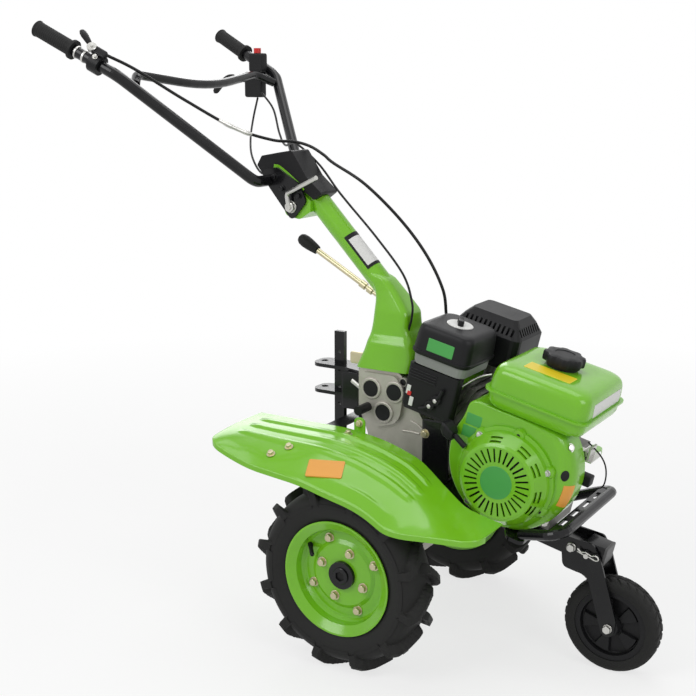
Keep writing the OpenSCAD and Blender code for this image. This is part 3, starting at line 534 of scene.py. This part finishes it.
def tube(path, r, n=16):
    """A circle of radius r carried along a path, square to its direction; r may change along it."""
    path = np.asarray(path, float)
    way = np.gradient(path, axis=0)
    way /= np.linalg.norm(way, axis=1, keepdims=True)
    upward, leftward = [0.35, 0.1, 0.93], [0.1, 0.99, 0.1]
    side = np.cross(way, upward if np.abs(way @ upward).max() < 0.97 else leftward)
    side /= np.linalg.norm(side, axis=1, keepdims=True)
    rise = np.cross(way, side)
    a = around(n)
    r = np.broadcast_to(r, len(path))[:, None, None]
    ring = np.cos(a)[:, None] * side[:, None] + np.sin(a)[:, None] * rise[:, None]
    return spots(path[:, None] + r * ring)


cable_sheath = moulded("cable_sheath", (0.005, 0.005, 0.005, 1), (0.01, 0.01, 0.01, 1), 0.38, 0.05, 0.2)
throttle_route = [[-578, -286, 1234], [-546, -232, 1204], [-480, -152, 1140], [-410, -72, 1080],
                  [-360, 0, 1052], [-318, 26, 1048], [-278, 30, 1039], [-240, 26, 1022], [-207, 14, 1006],
                  [-122, 6, 965], [-41, 18, 893], [15, 34, 819], [50, 46, 745], [57, 50.5, 690],
                  [62, 50.8, 660]]
clutch_route = [[-566, 250, 1150], [-500, 205, 1112], [-445, 150, 1060], [-390, 95, 1035], [-330, 52, 1042],
                [-262, 40, 1000], [-196, 10, 951], [-164, 4, 923], [-83, -8, 853], [-10, -22, 782],
                [17, -31, 726], [17, -32, 692], [8, -29, 664]]
wire_route = [[-590, 266, 1136.7], [-585, 240, 1090], [-540, 165, 1043], [-485, 95, 1005], [-430, 55, 972],
              [-378, 38, 972]]
bend_start, bend_end = spots([-170, 0, 1000]), spots([-420, 0, 1000])
for name, route, r, node in [("throttle_sheath", throttle_route, 3.4, "throttle_cable"),
                             ("clutch_sheath", clutch_route, 2.5, "clutch_cable")]:
    sheath = skin(name, tube(through(route, 12), r), cable_sheath, None, replaced=[node], bend=60)
    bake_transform(sheath)
adjuster_path = through(throttle_route, 12)[32:42]
adjuster_r = np.array([4.2, 4.2, 5.6, 5.6, 4.6, 4.6, 4.6, 5.6, 5.6, 4.2])
adjuster = skin("cable_adjuster", tube(adjuster_path, adjuster_r), bright_zinc, None, bend=30)
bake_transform(adjuster)
skin("switch_wire_sheath", tube(through(wire_route, 12), 2.5), cable_sheath, "handlebar",
     replaced=["switch_wire"], bend=60)

# Fuel cap: a black moulded screw cap with eight finger flutes and a domed top,
# screwed on the tank's neck.
tip = np.radians(13)
crank_x, crank_h = 277, 411


def on_engine(points):
    """Points in the engine's nose-down frame, turned by its slope about the crankshaft
    and moved to its place."""
    u, y, w = np.moveaxis(np.asarray(points, float), -1, 0)
    return np.stack([crank_x + u * np.cos(tip) + w * np.sin(tip), y,
                     crank_h - u * np.sin(tip) + w * np.cos(tip)], -1)


engine_up = np.array([np.sin(tip), 0, np.cos(tip)])
tank_mid = 18
flutes, flute_deep = 8, 2.2
cap_a = around(128)
flute = flute_deep * np.clip(np.cos(flutes * cap_a) * 1.6, -1, 1)
# Rows of the cap's radius, share of the flutes and height
cap_r, cap_share, cap_h = np.array([
    [33, 0, 0], [33, 0, 8], [40.5, 1, 8.5], [41, 1, 11], [41, 1, 23], [39, 1, 26.5], [34, 0.5, 28],
    [22, 0, 28], [21, 0, 26.6], [10, 0, 26.6]]).T[..., None]
cap = polar(cap_r - cap_share * flute, cap_a, cap_h)
skin("tank_cap", fixed(cap, [on_engine([tank_mid, 0, 222.2])], engine_up), black_plastic,
     replaced=["fuel_cap"])


# Fuel tank: two deep-drawn halves of sheet steel, crimped together at a flange round the middle,
# sprayed green and bolted on top of the engine.
def boxed(low_x, high_x, low_y, high_y, height, corner):
    """Rings of rounded rectangles, one per height: each corner is a quarter circle of twelve points."""
    a = (np.arange(48) + 0.5) * 2 * np.pi / 48
    rows = np.broadcast_arrays(low_x, high_x, low_y, high_y, height, corner)
    low_x, high_x, low_y, high_y, height, corner = [np.asarray(v, float)[:, None] for v in rows]
    x = (low_x + high_x) / 2 + np.sign(np.cos(a)) * ((high_x - low_x) / 2 - corner) + corner * np.cos(a)
    y = (low_y + high_y) / 2 + np.sign(np.sin(a)) * ((high_y - low_y) / 2 - corner) + corner * np.sin(a)
    return np.stack(np.broadcast_arrays(x, y, height), -1)


def softened(value, places, heights, reach):
    """Heights read off a broken line, averaged over a reach on both sides
    so that its corners turn into curves."""
    steps = np.linspace(-reach, reach, 15)
    return np.interp(np.asarray(value, float)[..., None] + steps, places, heights).mean(-1)


seam_low, seam_high, dome_h = 164.0, 168.0, 54
tank_rear, tank_front, tank_side, tank_half = 107, 116, -8, 120
dome = np.linspace(0, 1, 26)
dome_w = seam_high + dome_h * np.sin(dome * np.pi / 2) ** 1.15
dome_in = 6 + 3 * dome + 44 * dome ** 5
tank_w = np.concatenate([[128.4, 130, 133, 138, 146, seam_low - 1, seam_low, seam_low, seam_high, seam_high],
                         dome_w])
tank_in = np.concatenate([[24, 19, 14, 10, 7, 6, 6, 0, 0, 6], dome_in])
tank_corner = np.concatenate([np.full(10, 26), 26 + 6 * dome])
tank = boxed(tank_mid - tank_rear + tank_in, tank_mid + tank_front - tank_in,
             tank_side - tank_half + tank_in, tank_side + tank_half - tank_in, tank_w, tank_corner)
skin("tank_shell", spots(on_engine(tank)), green_paint, replaced=["fuel_tank"], bend=40)

# Air cleaner's cover: a deep nylon moulding with a parting line near its foot,
# held down by a wing nut on a stud.
cover_rear, cover_front, cover_right, cover_left, cover_corner = -272, -142, -100, 45, 22
rise = np.linspace(0, 1, 24)
cover_w = np.concatenate([[172.2, 175, 176, 181, 182], 182 + 56 * np.sin(rise * np.pi / 2) ** 1.1])
cover_in = np.concatenate([[0, -1.5, -2, -2, -0.6], -0.6 + 4 * rise + 17 * rise ** 6])
cover = boxed(cover_rear + cover_in, cover_front - cover_in, cover_right + cover_in, cover_left - cover_in,
              cover_w, cover_corner)
skin("cleaner_shell", spots(on_engine(cover)), black_plastic, replaced=["air_cleaner_cover"], bend=40)


# Plates: thin blank vinyl in yellow, orange, white and green, stuck on the tank, the air cleaner,
# the shroud, the starter, the carburettor's cover and the right fender.
def plate(long, short, corner, thick, bevel=0.3):
    """A rounded rectangle raised by its thickness: each corner is a quarter circle,
    and the last rings step in by the bevel."""
    a = (np.arange(40) + 0.5) * 2 * np.pi / 40
    inset, h = np.array([[0, -0.6], [0, thick - bevel], [bevel * 0.3, thick - bevel * 0.3], [bevel, thick],
                         [corner - 0.2, thick]]).T[:, :, None]
    x = np.sign(np.cos(a)) * (long / 2 - corner) + (corner - inset) * np.cos(a)
    y = np.sign(np.sin(a)) * (short / 2 - corner) + (corner - inset) * np.sin(a)
    return np.stack(np.broadcast_arrays(x, y, h), -1)


yellow_vinyl = moulded("yellow_vinyl", (0.72, 0.56, 0.01, 1), (0.8, 0.64, 0.02, 1), 0.4, 0.02)
orange_vinyl = moulded("orange_vinyl", (0.72, 0.3, 0.03, 1), (0.8, 0.38, 0.06, 1), 0.4, 0.02)
white_vinyl = moulded("white_vinyl", (0.68, 0.68, 0.66, 1), (0.76, 0.76, 0.74, 1), 0.4, 0.02)
green_vinyl = moulded("green_vinyl", (0.05, 0.32, 0.06, 1), (0.07, 0.38, 0.08, 1), 0.4, 0.02)
engine_front = np.array([np.cos(tip), 0, -np.sin(tip)])
to_right = [0, -1, 0]
carb_face, shroud_plate_y = -95.2, -109.8
starter_disc = turned([(34, -0.5), (34, 0.5), (33.6, 0.8), (0.6, 0.8)], 64)
# Name, shape, places, outward direction, spin and finish
for name, shape, places, outward, spin, finish in [
        ("tank_top_plate", plate(100, 42, 2, 0.6), [on_engine([tank_mid, -60, 222])], engine_up, np.pi / 2,
         yellow_vinyl),
        ("tank_front_plate", plate(150, 27, 2, 0.5), [on_engine([127.3, -2, 184])],
         engine_front + 0.05 * engine_up, 0.0, white_vinyl),
        ("cleaner_plate", plate(60, 27, 2, 0.5), [on_engine([-206, -99.9, 200])], [0.011, -1, 0.05], -tip,
         green_vinyl),
        ("shroud_plates", plate(34, 24, 2, 0.5), [[205, shroud_plate_y, 517], [196, shroud_plate_y, 491]],
         to_right, -tip, green_vinyl),
        ("starter_plate", starter_disc, [[crank_x, -155, crank_h]], to_right, 0.0, green_vinyl),
        ("choke_plates", plate(9, 20, 1.5, 0.6), [[46, carb_face, 556], [52, carb_face, 531]], to_right, -tip,
         white_vinyl),
        ("choke_mark", plate(9, 9, 1.5, 1), [[48, carb_face, 548]], to_right, -tip, red_plastic),
        ("fender_plate", plate(74, 44, 3, 2.4), [[-25.5, -305, 428.6]], [0.17, -0.48, 0.86], 0.0,
         orange_vinyl)]:
    skin(name, fixed(shape, places, outward, spin), finish)


# Fenders: pressed steel sheet with long stiffening ribs, arched over the wheels and turned down
# in a lip along the outer edge; bolted to the brackets.
def fender_sheet(side):
    """Sheet over x and a share t from the inner to the outer edge: y runs between the edges, z falls
    from the inner height to the outer with the cube of t, rises on three ribs, and stays above a circle
    round the axle. The outer edge turns down in a lip, and the underside follows the top."""
    rear, front, outer_y, corner_r, sheet_t = -296, 328, 342, 36, 2
    rib_h, rib_end, arch_h, arch_r, lip_r, lip_h = 4, 158, 202, 209.0, 3, 12
    x = np.linspace(rear, front, 209)[:, None]
    t = np.linspace(0, 1, 81)[None]
    inner = softened(x, [-290, -64, 20, 67, 120, 148, 232, 345],
                     [466, 466, 454, 440, 420, 398, 364, 360], 26)
    outer = softened(x, [-290, -249, -185, -63, 31, 121, 158, 233, 345],
                     [461, 442, 423, 411, 388, 350, 345, 353, 362], 26)
    end = np.minimum(x - rear, front - x)
    corner = corner_r - np.sqrt(corner_r ** 2 - (corner_r - np.minimum(end, corner_r)) ** 2)
    inside = softened(x, [100, 150, 190, 232, 328], [146, 158, 176, 198, 232], 20)
    y = inside + (outer_y - corner - inside) * t
    bump = np.clip(1.7 - np.abs(t[..., None] - [0.22, 0.42, 0.62]) / 0.033, 0, 1).max(-1)
    rib = rib_h * bump * bump * (3 - 2 * bump) * np.clip((end - 30) / 20, 0, 1)
    rib = rib * np.clip((rib_end - x) / 16, 0, 1)
    arch = arch_h + np.sqrt(np.clip(arch_r ** 2 - x ** 2, 0, None)) - np.clip(y - 320, 0, None) * 0.9
    plain = inner - (inner - outer) * t ** 3 + rib
    z = 0.5 * (plain + arch + np.sqrt((plain - arch) ** 2 + 16))
    top = np.stack([x + 0 * y, y, z], -1)
    turn = np.linspace(0, np.pi / 2, 7)
    edge_y = np.concatenate([lip_r * np.sin(turn[1:]), [lip_r, 1.2]])
    edge_z = np.concatenate([lip_r * np.cos(turn[1:]) - lip_r, [-lip_h, -lip_h]])
    lip = top[:, -1:] + np.stack([0 * edge_y, edge_y, edge_z], -1)
    under = top[:, ::-1] - [0, 0, sheet_t]
    ring = np.concatenate([top, lip, under], axis=1)
    return spots(ring * [1, side, 1])


skin("fender_sheet_right", fender_sheet(-1), green_paint, replaced=["fender_right"], bend=50)
skin("fender_sheet_left", fender_sheet(1), green_paint, replaced=["fender_left"], bend=50)


# Fender tabs: small upright ears welded to the sheets' inner edges,
# with a yellow zinc bolt through each.
def both_sides(shape, x, y, z):
    """A shape that faces outwards on the right and on the left, at x, z and y from the middle plane."""
    return np.concatenate([fixed(shape, [[x, k * y, z]], [0, k, 0]) for k in (-1, 1)])


skin("fender_tabs", both_sides(plate(26, 40, 11, 3), -40, 147, 474), green_paint)
skin("tab_bolts", both_sides(hex_head(11, 6, 8), -40, 149.8, 482), yellow_zinc)

# Column: a steel tube welded into a folded foot, which spreads over the gearbox's top,
# sprayed green.
foot_z = np.concatenate([[578.3], np.linspace(580, 780, 60)])
foot_places = [578, 600, 622, 667, 700, 726, 745, 762, 771, 780]
foot_rear = softened(foot_z, foot_places, [-105, -96, -88, -79, -77, -77, -82, -96, -108, -118], 9)
foot_front = softened(foot_z, foot_places, [30, 34, 31, 9, 8, -12, -28, -44, -54, -84], 6)
foot_half = softened(foot_z, [578, 636, 650, 700, 726, 745, 762, 771, 780],
                     [66, 54, 45, 38, 32, 28, 26, 25, 23], 4)
foot = boxed(foot_rear, foot_front, -foot_half, foot_half, foot_z, np.minimum(16, foot_half * 0.6))
skin("column_foot", spots(foot), green_paint, replaced=["handle_column"], bend=50)
column_r = 24
column_path = np.linspace([-62, 0, 742.5], [-300, 0, 992], 40)
skin("column_tube", tube(column_path, column_r, 48), green_paint)


# Column's blank plate: a white vinyl sheet wrapped on the tube's right front,
# with a black strip at each end and along its lower edge.
def sleeve(start, stop, first, last, r, n=24):
    """Part of a tube's skin: an arc round the column's axis from start to stop along it,
    out on r and back just inside it."""
    low = np.array([-72.0, 0, 753])
    way = np.array([-228.0, 0, 239]) / 330.3
    out = np.array([0.49, -0.74, 0.466])
    out = out - way * (out @ way)
    out /= np.linalg.norm(out)
    side = np.cross(way, out)
    a = np.linspace(first, last, n)
    turn = np.concatenate([a, a[::-1]])
    radius = np.concatenate([np.full(n, r), np.full(n, r - 0.9)])
    ring = radius[:, None] * (np.cos(turn)[:, None] * out + np.sin(turn)[:, None] * side)
    return spots(ring[None] + (low + np.outer([start, stop], way))[:, None])


skin("column_band", sleeve(43, 125, -0.36, 1.15, 24.5), white_vinyl)
band_edges = [sleeve(40, 47, -0.5, 1.17, 24.7), sleeve(118, 128, -0.5, 1.17, 24.7),
              sleeve(40, 128, -0.5, -0.3, 24.8)]
skin("column_band_edges", np.stack(band_edges), black_plastic)

# Fender bolts: yellow zinc hexagon heads through the sheet into the brackets,
# the same on both sides.
fender_places = np.array([[-50.8, -178, 464.3], [-128.7, -281.9, 451.2], [-153.6, -310.7, 439.9]])
fender_outward = np.array([[0.14, 0.01, 0.99], [0.03, -0.38, 0.92], [0.05, -0.41, 0.91]])
fender_bolts = [fixed(hex_head(11, 6, 9), fender_places * [1, k, 1], fender_outward * [1, k, 1])
                for k in (1, -1)]
skin("fender_bolts", np.concatenate(fender_bolts), yellow_zinc)

# Fan shroud: deep-drawn sheet steel round the flywheel, rolled over wide at the front edge and tight
# elsewhere, flat at the foot and square under the tank; bolted to the crankcase, with a blank orange plate.
shroud_u, shroud_face, shroud_w = 5, -110, 22


def shroud_rolled(angle, turn, lift=0.0):
    """Points in the engine's frame at an angle round the shroud and a turn from its side to its face.
    The outline at an angle is the larger of a circle and a tapered wall at the rear, cut level above and
    below and averaged over a few degrees; from it the skin rolls in along a quarter circle, raised by the
    lift."""
    near_by = angle[:, None] + np.linspace(-0.09, 0.09, 15)
    across, up = np.cos(near_by), np.sin(near_by)
    wall = np.where((up > 0.1) & (across < 0), 129.7 / np.maximum(0.1286 * up - 0.9917 * across, 0.01), 0)
    level = np.where(up > 0, 106, 127) / np.maximum(np.abs(up), 0.01)
    outline = np.minimum(np.maximum(134 - 4 * across, wall), level).mean(-1)
    roll = 5 + 30 * np.maximum(np.cos(angle - 0.09), 0) ** 1.5
    r = outline - roll + (roll + lift) * np.cos(turn)[:, None]
    y = shroud_face + roll - (roll + lift) * np.sin(turn)[:, None]
    return np.stack([shroud_u + r * np.cos(angle), y, shroud_w + r * np.sin(angle)], -1)


rolled = shroud_rolled(around(240), np.linspace(0, np.pi / 2, 14))
back = rolled[:1] * [1, 0, 1] + [0, -40, 0]
inward = (rolled[-1:] - [shroud_u, 0, shroud_w]) * [1, 0, 1]
middle = np.array([shroud_u, shroud_face, shroud_w]) + np.array([0.6, 0.2])[:, None, None] * inward
skin("shroud_shell", spots(on_engine(np.concatenate([back, rolled, middle]))), green_paint,
     replaced=["fan_shroud"], bend=50)
patch_angle, patch_turn = np.linspace(-0.34, 0.06, 24), np.radians(np.linspace(14, 58, 12))
patch = np.concatenate([shroud_rolled(patch_angle, patch_turn, 0.6),
                        shroud_rolled(patch_angle, patch_turn, -0.4)[:, ::-1]], axis=1)
skin("shroud_side_plate", spots(on_engine(patch)), orange_vinyl)

# Starter's bosses and bolts: five pressed ears on the cover's flange, three with plated bolts
# and two with open holes, beside the bolts of the shroud and of the gearbox's bracket.
boss_circle, boss_y = 97, -112.0
boss_angles = np.radians([136, 29, 232, 85, -22])
boss_places = on_engine(np.stack([boss_circle * np.cos(boss_angles), np.full(5, boss_y),
                                  boss_circle * np.sin(boss_angles)], -1))
boss = turned([(13.5, -1), (13, 5), (11, 9), (9.5, 9.6), (0.5, 9.6)])
skin("starter_bosses", fixed(boss, boss_places, to_right), green_paint)
skin("starter_bolts", fixed(hex_head(10, 5, 7), boss_places[:3] - [0, 9.4, 0], to_right), bright_zinc)
# Painted shade: the two open holes are flat black discs on the bosses.
hole_shade_disc = turned([(4, -2), (4, 0.2), (0.4, 0.2)])
skin("starter_hole_shades", fixed(hole_shade_disc, boss_places[3:] - [0, 9.6, 0], to_right), black_plastic)
shroud_bolt_places = on_engine([[105.5, -89, 101.5], [96.6, -91, -66.5]])
shroud_bolt_out = [[0.72, -0.6, 0.34], [0.42, -0.62, -0.65]]
skin("shroud_bolts", fixed(hex_head(12, 6, 9), shroud_bolt_places, shroud_bolt_out), bright_zinc)
skin("bracket_bolts", fixed(hex_head(13, 7, 10), [[71.4, -66, 455.8]], to_right), yellow_zinc)

# Shroud's plug: an oval rubber plug, pressed into a hole in the face
# beside the starter.
plug = turned([(11, -1), (11, 1.2), (9.6, 2.2), (0.5, 2.6)], 48) * [0.75, 1, 1]
skin("shroud_plug", fixed(plug, [on_engine([115.4, -104.2, 49])], [0.54, -0.84, 0.01], -0.2), grip_rubber)

# Air cleaner's top: a pale washer disc under a black wing nut,
# on the stud that holds the cover down.
stud = on_engine([-207, -27, 238])
washer = turned([(28, -1), (28, 1), (26.5, 2.2), (12, 2.6), (0.5, 2.6)], 64)
skin("cleaner_washer", fixed(washer, [stud], engine_up), white_vinyl)
wing_a = around(96)
wing_share = np.abs(np.cos(wing_a)) ** 5
wing_r = (6 + 14 * wing_share) * np.array([1, 1, 0.94, 0.5, 0.1])[:, None]
wing_h = np.array([2.4, 8, 11.5, 13, 13])[:, None] + 3 * wing_share * np.array([0, 1, 1, 0.3, 0])[:, None]
skin("cleaner_wing_nut", fixed(polar(wing_r, wing_a, wing_h), [stud], engine_up, 0.5), black_plastic)

# Carburettor's cover: moulded louvres above, the choke's and fuel tap's levers on screws in front of it,
# and behind it the governor's plated link.
louvres = [tube(on_engine([[u, carb_face, w] for u in (-262, -240, -200)]), 1.7, 12)
           for w in (119, 125, 131, 137)]
skin("carburettor_louvres", np.stack(louvres), black_plastic)
lever_taper = np.linspace(5.5, 3.6, 17)
lever_paths = [[[112, -99, 541], [122, -100, 552], [129, -101, 566]],
               [[98, -99, 528], [86, -100, 522], [74, -101, 520]]]
levers = [tube(through(path, 8), lever_taper, 16) for path in lever_paths]
skin("choke_levers", np.stack(levers), black_plastic)
pivot_places = np.array([[112, -95, 541], [98, -95, 528]])
pivot = turned([(11, -1), (11, 5), (9, 7.5), (0.5, 7.5)])
skin("choke_pivots", fixed(pivot, pivot_places, to_right), black_plastic)
screw = turned([(4.4, -1), (4.4, 1.6), (3.2, 2.6), (0.4, 2.8)], 24)
skin("choke_screws", fixed(screw, pivot_places - [0, 7.4, 0], to_right), bright_zinc)
linkage = tube(through([[150, -70, 566], [178, -62, 586], [198, -62, 597], [220, -62, 604]], 10), 2.4, 12)
skin("governor_link", linkage, bright_zinc)

# Gearbox's right face: turned rims cast round the plugs, a small plug with its own rim and two cast ribs,
# and in front the black steel bracket that ties the case to the engine's deck.
case_face = -62
small_plug_place = [18, case_face, 560]
rim_profile = [(17.4, -1), (17.4, 3.2), (18.6, 4.4), (22, 4.4), (23.6, 3), (24.4, -1)]
rim_places = [[-57, -72, 538], [0, -72, 537], [-27, -72, 489]]
skin("gearbox_rims", fixed(turned(rim_profile, 48), rim_places, to_right), cast_aluminium, looped=True)
small_rim = turned(np.array(rim_profile) * [0.42, 1.6], 40)
skin("small_rim", fixed(small_rim, [small_plug_place], to_right), cast_aluminium,
     looped=True)
small_plug = turned([(7.2, -1), (7.2, 4), (5.5, 5), (0.5, 5)], 32)
skin("small_plug", fixed(small_plug, [small_plug_place], to_right), black_plastic)
rib_paths = [[[16, case_face, 452], [36, case_face, 453], [56, case_face, 451]],
             [[34, case_face, 477], [50, case_face, 471], [64, case_face, 462]]]
skin("case_ribs", np.stack([tube(through(path, 6), 2.8, 12) for path in rib_paths]), cast_aluminium)
skin("case_bracket", fixed(plate(62, 134, 6, 4, 0.8), [[95, case_face, 421]], to_right), black_paint)

# Fork's fixings: pivot nuts on the beam, axle nuts on the fork,
# and the spring clip that keeps the lock pin in.
fork_nut = hex_head(15, 7.6, 9.5)
skin("pivot_nuts", both_sides(fork_nut, 394, 34.4, 259), bright_zinc)
skin("axle_nuts", both_sides(fork_nut, front_x, 34.2, front_h), bright_zinc, "front_fork")
lock_x, lock_z = 429, 250
clip = [[-24, 2], [-8, 0], [8, 0], [22, -2], [31, 2], [30, 9], [22, 10], [14, 6], [6, 6.4], [-4, 8], [-14, 4],
        [-24, 9]]
clip_path = np.array([[lock_x + 0.8 * x, -42, lock_z - 0.2 * x + 0.8 * z] for x, z in clip])
skin("lock_clip", tube(through(clip_path, 6), 1.5, 10), bright_zinc, "front_fork", bend=60)

# Governor: a thin black pull wire in front of the engine,
# and a small switch box on the crankcase's front.
wire = [[412, -15, 480], [438, -15, 457], [450, -15, 436], [452, -15, 412], [446, -15, 392], [430, -15, 384]]
skin("governor_wire", tube(through(wire, 8), 1.6, 10), cable_sheath, bend=60)
skin("oil_switch", fixed(plate(55, 22, 3, 22, 1.5), [on_engine([120.5, -15, 25])], to_right, -tip),
     black_plastic)

# Lever screw on the right tube: a bright hexagon head,
# through the lever's clamp.
clamp_out = [0.42, -0.68, 0.61]
skin("lever_screws", fixed(hex_head(8, 4, 6), [[-588.9, -308.3, 1229.8]], clamp_out), bright_zinc,
     "handlebar")


# Front wheel's hub: one black moulding, a closed disc stiffened by five raised wedges on each face,
# which turns on the axle bolt.
def hub_disc(wedges, lift):
    """Half width over radius and angle: a base profile, plus a lift inside each wedge;
    near face out, far face back."""
    r = np.concatenate([[6.5, 16, 18.5, 20, 22], np.linspace(24, 60, 30), [62, 63.5, 66, 74.6]])
    angle = around(360)[:, None]
    base = np.interp(r, [6.5, 16, 18.5, 22, 24, 60, 62, 63.5, 74.6], [27.6, 27.6, 26.6, 12, 7, 7, 9, 20, 20])
    from_middle = np.abs((angle / (2 * np.pi) * wedges) % 1 - 0.5)
    share = np.clip((0.25 - from_middle) * 2 * np.pi * r / wedges / 2.2, 0, 1)
    half = base + lift * share * np.clip((r - 22) / 3, 0, 1) * np.clip((60.5 - r) / 2.5, 0, 1)
    r_all = np.concatenate([r, r[::-1]])
    out = np.concatenate([-half, half[:, ::-1]], axis=1)
    return spots(np.stack([front_x + r_all * np.cos(angle), out, front_h + r_all * np.sin(angle)], -1))


skin("front_hub", hub_disc(5, 8), black_plastic, "front_wheel", replaced=["front_wheel_rim"],
     looped=True, bend=30)

# Beam's nose: the square tube runs on between the fork's plates,
# and a dark grey moulded cap closes its end.
nose_u, nose_w, nose_l = 172, -119, 42
skin("beam_nose", fixed(plate(50.6, 38, 4, nose_l), [on_engine([nose_u, 0, nose_w])], engine_front),
     black_paint)
dark_plastic = moulded("dark_plastic", (0.07, 0.07, 0.07, 1), (0.1, 0.1, 0.1, 1), 0.45, 0.1, 0.3)
skin("nose_cap", fixed(plate(52, 39.5, 5, 4.5, 1.4), [on_engine([nose_u + nose_l, 0, nose_w])], engine_front),
     dark_plastic, replaced=["beam_cap"])

# Shift lever: a plated tube clamped on the selector's rod by two nuts,
# with a long moulded grip.
lever_top = np.array([-288.0, 48, 814])
lever_l = 272.6
lever_run = np.array([238.0, 0, -133]) / lever_l
lever_s = np.array([0, 10, 150, 151, 166, 167, 172, 173, 186, 187, 230, lever_l])
lever_r = np.array([6.3, 6.3, 6.3, 8.8, 8.8, 5, 5, 8.6, 8.6, 5, 5, 5])
skin("shift_rod", tube(lever_top + np.outer(lever_s, lever_run), lever_r, 24), yellow_zinc,
     replaced=["shift_lever"], bend=30)
grip_profile = [(7, -20), (10, -18.5), (11.5, -10), (13.6, 6), (14.2, 18), (13, 28), (9.5, 34), (5, 36.6),
                (0.6, 37.4)]
skin("shift_grip", fixed(turned(grip_profile, 40), [lever_top], -lever_run), grip_rubber, "chassis",
     "black_plastic", ["shift_knob"])

# Hand levers: a moulded paddle, a plated pivot and a small black housing on the throttle lever,
# a rubber sleeve on the clutch lever, and two plated bands round the right tube.
paddle = turned([(3, -24), (5.6, -20), (7.5, -8), (9, 4), (8.4, 12), (5.5, 17), (0.6, 19)], 32)
paddle = paddle * [1.25, 0.72, 1]
skin("throttle_paddle", fixed(paddle, [[-620, -299.5, 1270]], [-0.542, -0.116, 0.832]), black_plastic,
     "handlebar")
throttle_pivot = turned([(10.5, -6), (10.5, 2), (9.4, 3), (4, 3.2), (3.6, 5.6), (0.5, 5.8)])
skin("throttle_pivot", fixed(throttle_pivot, [[-598.6, -306, 1250.9]], clamp_out), bright_zinc, "handlebar")
sleeve_path = through([[-664, 267.5, 1188.5], [-684, 268.5, 1185], [-706, 271, 1170], [-732, 274.3, 1148]], 8)
sleeve_r = np.interp(np.arange(25), [0, 2, 12, 22, 23, 24], [5.4, 6.4, 7.4, 7.8, 6.6, 3])
skin("clutch_sleeve", tube(sleeve_path, sleeve_r, 20), grip_rubber, "handlebar", bend=60)
tube_way = -grip_run / np.linalg.norm(grip_run)
band_places = grip_end - np.outer([113, 134], tube_way)
band_profile = [(12.2, 0), (13.6, 0), (13.9, 0.8), (13.9, 4.2), (13.6, 5), (12.2, 5)]
skin("tube_bands", fixed(turned(band_profile, 40), band_places, -tube_way), bright_zinc, "handlebar",
     looped=True)
skin("throttle_housing", fixed(plate(38, 17, 5, 9, 2), [[-587, -296, 1237]], clamp_out, -0.6),
     black_plastic, "handlebar")

# Tilt joint's fixings: a plated nut under the clamp lever, black bolt heads on the side plate,
# and the green edge of the column's inner plate, which shows under the moulded cover.
side_plate_y, inner_plate_y = -40.4, -33
skin("clamp_nut", fixed(hex_head(21, 8, 13.5, 2), [[-282, side_plate_y, 911]], to_right, 0.2), bright_zinc,
     "handlebar")
plate_bolt_places = [[x, side_plate_y, z] for x, z in [(-262, 936), (-326, 975), (-306, 950)]]
skin("plate_bolts", fixed(hex_head(10, 5, 8), plate_bolt_places, to_right), black_paint, "handlebar")
strip_points = [(-332, 998), (-318, 995), (-298, 982), (-272, 962), (-256, 946)]
strip_path = through([[x, inner_plate_y, z] for x, z in strip_points], 8)
strip_way = np.gradient(strip_path, axis=0)
strip_out = np.stack([-strip_way[:, 2], 0 * strip_way[:, 0], strip_way[:, 0]], -1)
strip_out /= np.linalg.norm(strip_out, axis=1, keepdims=True)
strip_half = np.linspace(4, 6, len(strip_path))[:, None, None]
strip_edge = strip_half * np.array([1, 1, -1, -1])[:, None] * strip_out[:, None]
strip_deep = np.array([[0, 0.8, 0], [0, -0.8, 0], [0, -0.8, 0], [0, 0.8, 0]])
skin("inner_plate_edge", spots(strip_path[:, None] + strip_edge + strip_deep), green_paint)

# Switch box: two moulded halves with rounded edges,
# clamped one above the other on the left tube.
box_left, box_w = 276.4, 21.8
# Each half's middle as x and z, its length and its height
halves = [fixed(plate(long, short, 6, box_w, 2.4), [[x, box_left, z]], to_right)
          for x, z, long, short in [(-588, 1222.5, 40, 45), (-597, 1169, 50, 62)]]
skin("switch_halves", np.concatenate(halves), black_plastic, "handlebar", replaced=["switch_box"])

# Wheel shaft's ends: a black collar stands round each end of the shaft,
# and a flat black disc inside it is painted shade for the depth of the shaft's hexagon bore.
shaft_end = 1000 * max(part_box("wheel_axle")[1][1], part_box("wheel_hubs")[1][1])
collar_a = around(36)
bore_r = hexagon(9.5, collar_a)
collar_r = np.stack([bore_r, np.full(36, 17.5), np.full(36, 17.5), np.full(36, 16.2), bore_r])
collar = polar(collar_r, collar_a, np.array([-1, -1, 2.8, 4, 4])[:, None])
skin("shaft_collars", both_sides(collar, 0, shaft_end, axle_h), black_paint, "drive_wheels",
     looped=True)
# Painted shade: a flat dark disc over the shaft's end, so that the bore looks deep.
bore = turned([(14, -1), (14, 0.4), (0.5, 0.4)])
skin("shaft_bore_shades", both_sides(bore, 0, shaft_end, axle_h), cable_sheath, "drive_wheels", "black_paint")

# Behind the gearbox: the selector's plated rod, a zinc bracket under the column's foot
# and the black cheek that stiffens the hitch.
selector_path = np.linspace([-124, -40, 540], [-70, -40, 508], 6)
skin("selector_rod", tube(selector_path, 6.5, 20), bright_zinc)
skin("foot_bracket", fixed(plate(34, 26, 5, 4), [[-112, -38, 592]], to_right), yellow_zinc)
skin("hitch_cheek", fixed(plate(44, 84, 5, 6, 1), [[-128, -38, 516]], to_right), black_paint)
